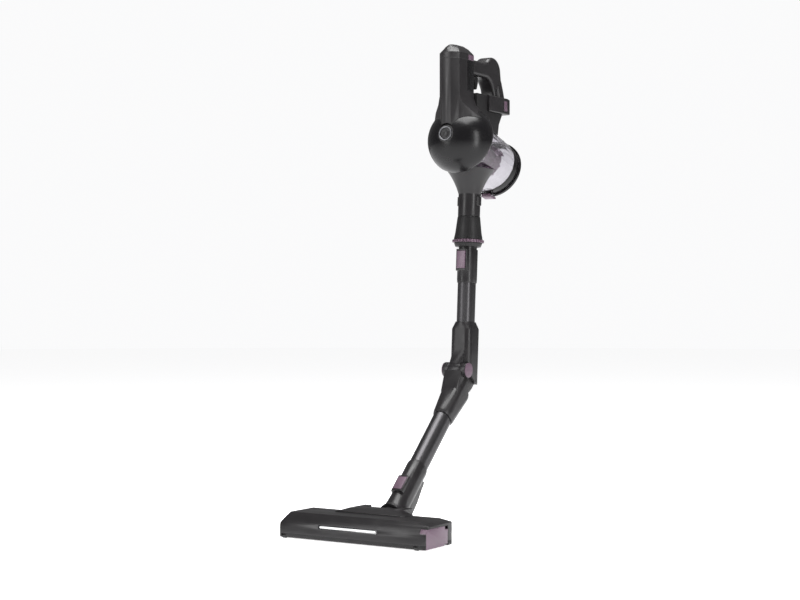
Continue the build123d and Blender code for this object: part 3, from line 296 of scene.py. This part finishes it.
def soft_rubber(name, colour):
    """Matt rubber with a dusty bloom."""
    finish = Finish(name)
    normal, edge_mask = finish.edges(0.0006)
    dust = finish.remap(finish.noise(55.0, 6.0), (0.45, 0.75), (0.0, 0.5))
    body = finish.blend(dust, colour, scaled(colour, 2.6))
    finish.drive("Base Color", finish.blend(edge_mask, body, scaled(colour, 2.0)))
    finish.drive("Roughness", finish.remap(finish.noise(80.0), (0.3, 0.7), (0.6, 0.85)))
    finish.bump(finish.noise(1200.0, 3.0), 0.2, 0.0002, normal)


def clear_plastic(name, colour, roughness):
    """Clear plastic with faint haze and scratches."""
    finish = Finish(name)
    haze = finish.remap(finish.noise(28.0, 5.0), (0.4, 0.7), (roughness, roughness * 3))
    finish.drive("Roughness", haze)
    clouds = finish.remap(finish.noise(9.0), (0.4, 0.6), (0.0, 1.0))
    finish.drive("Base Color", finish.blend(clouds, colour, scaled(colour, 1.12)))
    finish.bump(finish.noise(240.0, 4.0), 0.02, 0.0002)
    finish.set(Transmission_Weight=1.0, IOR=1.46)


def felt(name, colour):
    """Felt: rough fibres with a faint sheen."""
    finish = Finish(name)
    fibres = finish.noise(900.0, 6.0)
    finish.drive("Base Color", finish.blend(fibres, scaled(colour, 0.75), scaled(colour, 1.15)))
    finish.bump(fibres, 0.5, 0.0004)
    finish.set(Roughness=0.95, Sheen_Weight=0.3)


MAUVE = (0.102, 0.062, 0.090)


def make_materials():
    moulded("dark_shell", (0.0130, 0.0119, 0.0128), 0.34, specular=0.34)
    moulded("dark_plain", (0.0105, 0.0100, 0.0105), 0.48, grain=0.2, specular=0.3)
    moulded("black_plain", (0.009, 0.009, 0.0095), 0.5, grain=0.2)
    moulded("gloss_black", (0.0055, 0.0052, 0.0058), 0.24, grain=0.02, edge=0.0007, specular=0.26)
    moulded("smoked_lens", (0.016, 0.016, 0.018), 0.09, grain=0.01, coat=0.8)
    soft_rubber("soft_black", (0.02, 0.02, 0.021))
    moulded("mauve", MAUVE, 0.38, grain=0.08)
    moulded("mauve_filter", scaled(MAUVE, 1.1), 0.42)
    metal("screw_steel", (0.5, 0.5, 0.51), 0.28)
    metal("motor_steel", (0.45, 0.45, 0.47), 0.35, stretch=(0.05, 1, 1))
    metal("motor_alloy", (0.5, 0.5, 0.52), 0.4)
    soft_rubber("bristle", (0.05, 0.04, 0.05))
    soft_rubber("belt_rubber", (0.015, 0.015, 0.015))
    soft_rubber("wheel_rubber", (0.022, 0.022, 0.023))
    metal("tube_metal", (0.066, 0.064, 0.067), 0.38, stretch=(1, 0.03, 0.03), bump=0.01)
    metal("badge_silver", (0.17, 0.17, 0.18), 0.38)
    moulded("board_green", (0.02, 0.09, 0.04), 0.3)
    moulded("cell_wrap", (0.05, 0.16, 0.3), 0.3)
    felt("filter_felt", (0.5, 0.48, 0.46))
    clear_plastic("smoked_clear", (0.66, 0.64, 0.68), 0.03)
    moulded("lamp_white", (0.8, 0.8, 0.8), 0.2, grain=0.02, wear=0.2)
    clear_plastic("clear", (0.82, 0.82, 0.84), 0.02)


def dress_nodes():
    for node, slot_name in SLOT_OF.items():
        mesh = NODES[node].data
        mesh.materials.clear()
        mesh.materials.append(MATERIALS[slot_name])


# ---- the frames that the pieces are built in ----------------------------------------
# Each turns millimetres into the object's metres. Its x is the object's +X.


def axis_of(joint):
    return Vector(JOINTS[joint]["axis"])


def pivot_of(joint):
    return Vector(JOINTS[joint]["pos_m"])


def local_frame(origin, z_axis, x_axis=(1, 0, 0)):
    z_axis, x_axis = Vector(z_axis).normalized(), Vector(x_axis).normalized()
    y_axis = z_axis.cross(x_axis)
    turn = Matrix((x_axis, y_axis, z_axis)).transposed().to_4x4()
    return Matrix.Translation(Vector(origin)) @ turn @ Matrix.Scale(MM, 4)


X_AXIS = Vector((1, 0, 0))
DRUM_CENTRE = pivot_of("impeller_spin")
LOWER_AXIS = -axis_of("head_detach")  # up the lower tube
KNEE_OFFSET = 30 * MM                 # from the knee pin to the lower tube's axis
LOWER_REACH = 368.7 * MM              # from the neck's elbow to level with the knee pin
NECK_ELBOW = pivot_of("knee_bend") + KNEE_OFFSET * LOWER_AXIS.cross(X_AXIS) - LOWER_REACH * LOWER_AXIS

whole_frame = Matrix.Scale(MM, 4)
lower_frame = local_frame(NECK_ELBOW, LOWER_AXIS)
drum_frame = local_frame(DRUM_CENTRE, axis_of("bin_slide"))


# ---- mesh helpers -------------------------------------------------------------------


def finish_piece(name, shape, material, body, space, stands_for=(), smooth=35):
    """Turns a bmesh into a piece that rides on a body. Edges sharper than smooth degrees stay hard."""
    bmesh.ops.recalc_face_normals(shape, faces=shape.faces)
    mesh = bpy.data.meshes.new(name)
    shape.to_mesh(mesh)
    shape.free()
    mesh.transform(space)
    mesh.shade_smooth()
    mesh.set_sharp_from_angle(angle=math.radians(smooth))
    mesh.materials.append(MATERIALS[material])
    piece = bpy.data.objects.new(name, mesh)
    bpy.context.scene.collection.objects.link(piece)
    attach(piece, body)
    if stands_for:
        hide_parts(*stands_for)


def add_part(shape, part):
    """Moves one bmesh into another."""
    mesh = bpy.data.meshes.new("part")
    part.to_mesh(mesh)
    part.free()
    shape.from_mesh(mesh)
    bpy.data.meshes.remove(mesh)


def add_rings(shape, rings, closed=False):
    """Joins rings of points with quads. A closed set joins its last ring to its first."""
    rows = [[shape.verts.new(point) for point in ring] for ring in rings]
    count = len(rows[0])
    pairs = list(zip(rows, rows[1:])) + ([(rows[-1], rows[0])] if closed else [])
    for near, far in pairs:
        for i in range(count):
            j = (i + 1) % count
            shape.faces.new((near[i], near[j], far[j], far[i]))
    if not closed:
        shape.faces.new(rows[0])
        shape.faces.new(rows[-1])


def turned_ring(radius, height, segments, lobes=0, swell=0.0):
    """Points of a circle round the z axis, whose radius swells and shrinks once a lobe."""
    ring = []
    for i in range(segments):
        turn = math.tau * i / segments
        reach = radius * (1 + swell * math.cos(lobes * turn))
        ring.append(Vector((reach * math.cos(turn), reach * math.sin(turn), height)))
    return ring


def add_lathe(shape, profile, centre=(0, 0, 0), axis="z", segments=64, closed=True):
    """Revolves (radius, height) corners. A closed profile makes a ring with a hole."""
    rings = []
    for radius, height in profile:
        ring = turned_ring(radius, height, segments)
        if axis == "x":
            ring = [point.zxy for point in ring]
        rings.append([point + Vector(centre) for point in ring])
    add_rings(shape, rings, closed=closed)


PLACE_IN = {
    "xy": lambda u, v, w: (u, v, w),
    "xz": lambda u, v, w: (u, w, v),
    "yz": lambda u, v, w: (w, u, v),
}


def add_prism(shape, outline, low, high, bevel, segments=2, plane="yz"):
    """Extrudes an outline along the third axis, with its corners and rims rounded."""
    part = bmesh.new()
    add_rings(part, [[PLACE_IN[plane](u, v, end) for u, v in outline] for end in (low, high)])
    bmesh.ops.recalc_face_normals(part, faces=part.faces)
    bmesh.ops.bevel(part, geom=part.edges[:], offset=bevel, segments=segments, affect="EDGES",
                    profile=0.7, clamp_overlap=True)
    add_part(shape, part)


def cad_shape(node):
    """A CAD node's mesh as a bmesh, in metres."""
    shape = bmesh.new()
    shape.from_mesh(NODES[node].data)
    return shape


def welded_shape(node):
    """A CAD node's mesh with its doubled corners joined, in metres."""
    shape = cad_shape(node)
    bmesh.ops.remove_doubles(shape, verts=shape.verts[:], dist=0.00001)
    return shape


def surface_of(node):
    """A CAD node's surface, to cast rays at."""
    shape = cad_shape(node)
    tree = BVHTree.FromBMesh(shape)
    shape.free()
    return tree


def surface_point(tree, origin, direction):
    """Where a ray meets a surface, in millimetres."""
    return tree.ray_cast(Vector(origin) * MM, Vector(direction))[0] / MM


def boxes_of(node):
    """The low and high corners of each separate solid in a node, in millimetres."""
    shape = welded_shape(node)
    left, found = set(shape.verts), []
    while left:
        stack, island = [left.pop()], []
        while stack:
            vert = stack.pop()
            island.append(vert.co / MM)
            for edge in vert.link_edges:
                other = edge.other_vert(vert)
                if other in left:
                    left.remove(other)
                    stack.append(other)
        low = Vector(min(point[i] for point in island) for i in range(3))
        high = Vector(max(point[i] for point in island) for i in range(3))
        found.append((low, high))
    shape.free()
    return sorted(found, key=lambda pair: tuple(round(value, 3) for value in pair[0]))


# ---- moulded shells: the CAD meshes with their hard edges rounded --------------------

HARD_EDGE = math.radians(32)
FLAT = math.radians(1.0)
# node and the width of its rounding
ROUNDED = {
    "head_cover": 1.0, "head_base": 0.6, "end_cap": 1.0, "pivot_housing": 1.2,
    "neck_yoke": 0.8, "neck_body": 1.0, "head_release_button": 0.8,
    "knee_lower_housing": 1.0, "knee_upper_housing": 1.0, "knee_discs": 0.5, "knee_lever": 0.6,
    "wand_collar": 0.9, "wand_release_button": 0.8,
    "drum_shell": 0.6, "column_shell": 1.2, "side_inlays": 0.3, "top_cap": 1.2, "power_button": 0.8,
    "brush_ring": 0.6, "ring_comb": 0.4,
    "handle": 1.2, "dock_housing": 1.2, "battery_case": 1.2, "battery_key": 0.3,
    "bin_cup": 0.5, "lid_frame": 0.6, "lid_latch": 0.6,
}


def make_shells():
    for node, width in ROUNDED.items():
        body = NODES[node]["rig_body"]
        shape = welded_shape(node)
        bmesh.ops.dissolve_limit(shape, angle_limit=FLAT, verts=shape.verts[:], edges=shape.edges[:])
        sharp = [edge for edge in shape.edges
                 if len(edge.link_faces) == 2 and edge.calc_face_angle(0) > HARD_EDGE]
        bmesh.ops.bevel(shape, geom=sharp, offset=width * MM, segments=2, affect="EDGES",
                        profile=0.6, clamp_overlap=True, loop_slide=True)
        bmesh.ops.triangulate(shape, faces=[face for face in shape.faces if len(face.verts) > 4])
        already_metres = Matrix.Identity(4)
        finish_piece(node + "_moulded", shape, SLOT_OF[node], body, already_metres, (node,), smooth=40)


# ---- fasteners ----------------------------------------------------------------------

THREAD_PITCH = 0.9
THREAD_ROOT = 0.82  # as a share of the shank's radius
TIP_LENGTH = 0.4    # left plain past the thread
RECESS_R = 0.42     # as a share of the head's radius
SCREW_SEGMENTS = 36
# node, body, axis that the head faces down, head radius, head height and shank radius
SCREWS = (
    ("head_screws", "head", 2, 3.0, 2.0, 1.45),
    ("hand_screws", "hand_unit", 0, 2.7, 1.0, 1.4),
)


def add_screw(shape, head, direction, head_r, head_height, shank_r, shank_length):
    """A pan head with a six-lobed recess, and its threaded shank. Head is the outer face's centre."""
    lobed = {"lobes": 6, "swell": 0.16}
    rings = [(head_r * RECESS_R, -head_height * 0.6, lobed), (head_r * RECESS_R, 0, lobed),
             (head_r * 0.86, 0, {}), (head_r, -head_height * 0.3, {}),
             (head_r, -head_height, {}), (shank_r, -head_height, {})]
    for i in range(int(shank_length / THREAD_PITCH)):
        depth = -head_height - 0.5 - i * THREAD_PITCH
        rings += [(shank_r, depth, {}), (shank_r * THREAD_ROOT, depth - THREAD_PITCH / 2, {})]
    part = bmesh.new()
    add_rings(part, [turned_ring(radius, height, SCREW_SEGMENTS, **lobing)
                     for radius, height, lobing in rings])
    side_axis = (0, 1, 0) if abs(direction[0]) > 0.5 else (1, 0, 0)
    part.transform(local_frame(Vector(head) * MM, direction, side_axis))
    part.transform(Matrix.Scale(1 / MM, 4))
    add_part(shape, part)


def make_screws():
    for node, body, axis, head_r, head_height, shank_r in SCREWS:
        shape = bmesh.new()
        direction = Vector((0, 0, 0))
        direction[axis] = -1
        for low, high in boxes_of(node):
            head = (low + high) / 2
            head[axis] = low[axis]
            shank_length = high[axis] - low[axis] - head_height - TIP_LENGTH
            add_screw(shape, head, direction, head_r, head_height, shank_r, shank_length)
        finish_piece(node + "_lobed", shape, "screw_steel", body, whole_frame, (node,))


# ---- floor head ---------------------------------------------------------------------

TUFT_ROWS = 2
TUFTS_PER_ROW = 96
BRISTLES_PER_TUFT = 8
BRISTLE_ROOT_R, BRISTLE_TIP_R = 11.6, 17.9
BRISTLE_WIDTH = 0.32
BRISTLE_SPLAY = 0.16   # radians round the brush
BRISTLE_SPREAD = 1.1   # along the brush


def add_bristle(shape, root, turn, splay, shift, tip_r):
    """A three-sided bristle that leans out of its tuft more and more toward its tip."""
    rings = []
    for radius, size, lean in ((BRISTLE_ROOT_R, BRISTLE_WIDTH, 0.35),
                               (BRISTLE_TIP_R - 3, BRISTLE_WIDTH * 0.8, 0.8),
                               (tip_r, 0.1, 1.0)):
        angle = turn + splay * lean
        outward = Vector((0, math.cos(angle), math.sin(angle)))
        across = Vector((0, -math.sin(angle), math.cos(angle)))
        middle = root + X_AXIS * shift * lean + outward * radius
        rings.append([middle + X_AXIS * size,
                      middle + across * size - X_AXIS * size * 0.5,
                      middle - across * size - X_AXIS * size * 0.5])
    add_rings(shape, rings)


def make_bristles():
    """Two spiral rows of tufts, each a bundle of tapered bristles."""
    chance = random.Random(7)
    low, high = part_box("brush_bristles")
    centre = pivot_of("brush_spin") / MM
    length = (high.x - low.x) / MM
    shape = bmesh.new()
    for row in range(TUFT_ROWS):
        for i in range(TUFTS_PER_ROW):
            x = low.x / MM + length * (i + 0.5) / TUFTS_PER_ROW
            root = Vector((x, centre.y, centre.z))
            turn = math.radians(row * 360 / TUFT_ROWS + 360 * (i + 0.5) / TUFTS_PER_ROW)
            for _ in range(BRISTLES_PER_TUFT):
                splay = chance.uniform(-BRISTLE_SPLAY, BRISTLE_SPLAY)
                shift = chance.uniform(-BRISTLE_SPREAD, BRISTLE_SPREAD)
                tip_r = chance.uniform(BRISTLE_TIP_R - 1.0, BRISTLE_TIP_R)
                add_bristle(shape, root, turn, splay, shift, tip_r)
    finish_piece("brush_tufts", shape, "bristle", "brush", whole_frame, ("brush_bristles",), smooth=80)


WHEEL_BORE_R = 1.56
# node, material and the number of grooves round its tread
WHEELS = (
    ("rear_wheels", "wheel_rubber", 3),
    ("front_rollers", "black_plain", 1),
)


def wheel_profile(radius, half_width, grooves):
    """(radius, height) corners of a wheel with dished hubs and a grooved tread."""
    side = [(WHEEL_BORE_R, -half_width * 0.8), (WHEEL_BORE_R * 1.6, -half_width * 0.8),
            (WHEEL_BORE_R * 1.7, -half_width * 0.55), (radius * 0.62, -half_width * 0.5),
            (radius * 0.68, -half_width), (radius * 0.94, -half_width), (radius, -half_width * 0.86)]
    tread = []
    for i in range(grooves):
        middle = half_width * (-0.6 + 1.2 * (i + 0.5) / grooves)
        rim, floor = half_width * 0.09, half_width * 0.05
        tread += [(radius, middle - rim), (radius * 0.95, middle - floor),
                  (radius * 0.95, middle + floor), (radius, middle + rim)]
    return side + tread + [(reach, -height) for reach, height in reversed(side)]


def make_wheels():
    """The rear wheels and the small front rollers, which are bodies of their own."""
    for node, slot_name, grooves in WHEELS:
        shape = bmesh.new()
        for low, high in boxes_of(node):
            profile = wheel_profile((high.z - low.z) / 2, (high.x - low.x) / 2, grooves)
            add_lathe(shape, profile, centre=(low + high) / 2, axis="x", segments=56)
        finish_piece(node + "_treaded", shape, slot_name, node, whole_frame, (node,))


STRIP_HALF_HEIGHT = 1.9
STRIP_MARGIN = 2.5   # from each end of the lens to the lit bar
STRIP_STEPS = 60
STRIP_PROUD = 0.12
STRIP_BACK = 0.5     # how far the bar reaches behind the lens's face
HEAD_FRONT_Y = -80   # clear of the head, to look back at the lens from


def make_light_strip():
    """The lit bar that shows through the front strip, following its curve."""
    low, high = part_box("led_lens")
    tree = surface_of("led_lens")
    z_middle = (low.z + high.z) / 2 / MM
    start, end = low.x / MM + STRIP_MARGIN, high.x / MM - STRIP_MARGIN
    rings = []
    for i in range(STRIP_STEPS + 1):
        x = start + (end - start) * i / STRIP_STEPS
        half = STRIP_HALF_HEIGHT * min(1.0, 0.35 + 0.65 * min(i, STRIP_STEPS - i))
        face = [surface_point(tree, (x, HEAD_FRONT_Y, z_middle + half * k), (0, 1, 0)) for k in (-1, 0, 1)]
        rings.append([point + Vector((0, -STRIP_PROUD, 0)) for point in face]
                     + [point + Vector((0, STRIP_BACK, 0)) for point in reversed(face)])
    shape = bmesh.new()
    add_rings(shape, rings)
    finish_piece("light_strip_bar", shape, "lamp_white", "head", whole_frame)


# ---- wand ---------------------------------------------------------------------------

EAR_INNER_X, EAR_OUTER_X = 8.3, 10.8
# out from the lower tube's axis, and along it
EAR_OUTLINE = [(24.5, 302), (28.0, 305.5), (29.0, 308.7), (28.0, 311.5), (24.5, 316)]


def make_lever_ears():
    """Two ears on the knee's housing that hold the small lever's pivot between them."""
    shape = bmesh.new()
    for low, high in ((-EAR_OUTER_X, -EAR_INNER_X), (EAR_INNER_X, EAR_OUTER_X)):
        add_prism(shape, EAR_OUTLINE, low, high, bevel=0.4)
    finish_piece("knee_lever_ears", shape, "dark_shell", "lower_wand", lower_frame)


# ---- hand unit ----------------------------------------------------------------------

BADGE_TILT = math.radians(8)
BADGE_REACH = 70.2       # from the drum's centre
BADGE_INNER_R = 12.4     # of the rim
BADGE_OUTER_R = 14.9
BADGE_FACE_R = 12.3
FACE_RINGS_R = (9.4, 7.0, 4.6)


def make_badge():
    """A blank badge: a turned rim round a plain face with fine rings."""
    direction = Vector((0, -math.cos(BADGE_TILT), math.sin(BADGE_TILT)))
    space = local_frame(DRUM_CENTRE + BADGE_REACH * MM * direction, direction)
    shape = bmesh.new()
    add_lathe(shape, [(BADGE_INNER_R, -3.9), (BADGE_OUTER_R, -3.9), (BADGE_OUTER_R, -0.2), (14.6, 0.3),
                      (13.8, 0.5), (13.0, 0.3), (BADGE_INNER_R, -0.3)], segments=96)
    finish_piece("badge_ring", shape, "badge_silver", "hand_unit", space, ("badge_disc",), smooth=25)
    face = [(0.01, -3.5), (BADGE_FACE_R, -3.5), (BADGE_FACE_R, -0.5), (11.6, -0.6), (11.2, -0.25)]
    for radius in FACE_RINGS_R:
        face += [(radius + 0.5, -0.15), (radius + 0.25, 0.1), (radius - 0.25, 0.1), (radius - 0.5, -0.1)]
    face.append((0.01, 0.1))
    shape = bmesh.new()
    add_lathe(shape, face, closed=False, segments=96)
    finish_piece("badge_face", shape, "gloss_black", "hand_unit", space, smooth=25)


TRIGGER_TOP = 939.2
# y and z down the finger's face, round the tip and up the back
TRIGGER_OUTLINE = [(414, TRIGGER_TOP), (416.6, 934), (420.6, 928), (421.4, 921), (420.6, 916.5),
                   (421.5, 914), (424, 913), (426.4, 914), (429, 920), (431.2, 927), (432, TRIGGER_TOP)]


def make_trigger():
    """The trigger with a concave finger face and rounded rims."""
    low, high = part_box("trigger")
    shape = bmesh.new()
    add_prism(shape, TRIGGER_OUTLINE, low.x / MM, high.x / MM, bevel=0.9, segments=3)
    finish_piece("trigger_shaped", shape, "dark_plain", "trigger", whole_frame, ("trigger",))


# ---- bin: heights run along the drum's axis, from its centre to the rear --------------

SHROUD_START, SHROUD_START_R = 38, 34
SHROUD_TAPER = 4 / 58  # radius lost a millimetre
HOLE_ROWS, HOLES_PER_ROW = 9, 34
FIRST_HOLES, HOLE_PITCH = 42.5, 5.6
HOLE_R = 1.7
FIN_COUNT = 12
FIN_HALF_THICKNESS = 0.5
# radius and height
FIN_OUTLINE = [(24.8, 42), (26.8, 42), (26.8, 58), (25.0, 62), (24.6, 60)]


def make_shroud_holes():
    """Holes of the shroud's screen: dark eight-sided plugs that show just above its surface, painted shade
    for the shaded inside that real holes would show.
    """
    shape = bmesh.new()
    for row in range(HOLE_ROWS):
        height = FIRST_HOLES + row * HOLE_PITCH
        radius = SHROUD_START_R - (height - SHROUD_START) * SHROUD_TAPER
        for i in range(HOLES_PER_ROW):
            turn = math.tau * (i + 0.5 * (row % 2)) / HOLES_PER_ROW
            outward = Vector((math.cos(turn), math.sin(turn), SHROUD_TAPER)).normalized()
            centre = Vector((radius * math.cos(turn), radius * math.sin(turn), height))
            sideways = Vector((-math.sin(turn), math.cos(turn), 0))
            lengthways = outward.cross(sideways)
            rings = []
            for lift in (-0.5, 0.12):
                middle = centre + outward * lift
                rings.append([middle + sideways * HOLE_R * math.cos(k * math.pi / 4)
                              + lengthways * HOLE_R * math.sin(k * math.pi / 4) for k in range(8)])
            add_rings(shape, rings)
    finish_piece("shroud_hole_painted_shade", shape, "black_plain", "bin", drum_frame)


def make_cone_fins():
    shape = bmesh.new()
    for i in range(FIN_COUNT):
        fin = bmesh.new()
        add_prism(fin, FIN_OUTLINE, -FIN_HALF_THICKNESS, FIN_HALF_THICKNESS, bevel=0.2, plane="xz")
        fin.transform(Matrix.Rotation(math.tau * i / FIN_COUNT, 4, "Z"))
        add_part(shape, fin)
    finish_piece("cone_fins", shape, "black_plain", "bin", drum_frame)


SEAL_INNER_R, SEAL_OUTER_R = 57.7, 59.8
SEAL_START, SEAL_END = 148.1, 148.75
MARK_INNER_R, MARK_OUTER_R = 43.6, 44.3
MARK_START, MARK_END = 155.5, 155.98


def make_lid_detail():
    """The rubber seal in front of the lid, and a thin ring and bar moulded on the clear lid."""
    shape = bmesh.new()
    add_lathe(shape, [(SEAL_INNER_R, SEAL_START), (SEAL_OUTER_R, SEAL_START), (SEAL_OUTER_R, SEAL_END),
                      (58.6, SEAL_END + 0.2), (SEAL_INNER_R, SEAL_END)], segments=128)
    finish_piece("lid_seal", shape, "soft_black", "bin", drum_frame)
    shape = bmesh.new()
    add_lathe(shape, [(MARK_INNER_R, MARK_START), (MARK_OUTER_R, MARK_START),
                      (MARK_OUTER_R, MARK_END), (MARK_INNER_R, MARK_END)], segments=128)
    bar = [(45.0, -0.4), (50.5, -0.4), (50.5, 0.4), (45.0, 0.4)]
    add_prism(shape, bar, 154.9, 155.9, bevel=0.15, plane="xy")
    finish_piece("lid_marking", shape, "gloss_black", "lid", drum_frame)


CUP_START, CUP_START_R = 20.6, 57.5
CUP_TAPER = 2.5 / 127.4  # radius gained a millimetre
BAND_STEPS = 40
BAND_HALF_ANGLE = math.radians(52)
BAND_RAISE = 0.28
BAND_START, BAND_END = 24.0, 66.0
RIM_START, RIM_END = 128.0, 147.0
TOP_OF_CUP = -math.pi / 2


def band_ring(near, far, turn):
    """The band's section between two heights: a raised strip with its back inside the cup's wall."""
    ring = []
    for height, lift in ((near, 0.02), (near + 1, BAND_RAISE), (far - 1, BAND_RAISE), (far, 0.02),
                         (far, -0.6), (near, -0.6)):
        radius = CUP_START_R + CUP_TAPER * (height - CUP_START) + lift
        ring.append((radius * math.cos(turn), radius * math.sin(turn), height))
    return ring


def make_bin_band():
    """Glossy band over the top of the bin, and the dark rim all round in front of the lid."""
    shape = bmesh.new()
    arc = [TOP_OF_CUP + BAND_HALF_ANGLE * (2 * i / BAND_STEPS - 1) for i in range(BAND_STEPS + 1)]
    add_rings(shape, [band_ring(BAND_START, BAND_END, turn) for turn in arc])
    circle = [math.tau * i / BAND_STEPS for i in range(BAND_STEPS)]
    add_rings(shape, [band_ring(RIM_START, RIM_END, turn) for turn in circle], closed=True)
    finish_piece("bin_band", shape, "gloss_black", "bin", drum_frame)


# ---- battery ------------------------------------------------------------------------

SOCKET_MOUTH_Y = 520.0
SOCKET_DEPTH = 8
SOCKET_BORE_R, SOCKET_WALL_R = 2.75, 3.0
SOCKET_FLANGE = 0.25  # stands proud of the mouth


def make_charging_socket():
    """The metal lining of the charging socket, with a flange round its mouth."""
    socket = next(mount for mount in frame["record"]["mounts"] if mount["name"] == "charging_socket")
    x, _, z = socket["pos_m"]
    shape = bmesh.new()
    add_lathe(shape, [(SOCKET_BORE_R, -SOCKET_DEPTH), (SOCKET_BORE_R, SOCKET_FLANGE), (4.3, SOCKET_FLANGE),
                      (4.5, -0.1), (SOCKET_WALL_R, -0.4), (SOCKET_WALL_R, -SOCKET_DEPTH)], segments=48)
    space = local_frame((x, SOCKET_MOUTH_Y * MM, z), (0, 1, 0))
    finish_piece("charging_socket_ring", shape, "screw_steel", "battery", space)


# ---- putting it together ------------------------------------------------------------

make_materials()
make_camera()
make_world()
make_lights()
make_floor()
dress_nodes()
make_shells()
make_screws()
make_bristles()
make_wheels()
make_light_strip()
make_lever_ears()
make_badge()
make_trigger()
make_shroud_holes()
make_cone_fins()
make_lid_detail()
make_bin_band()
make_charging_socket()
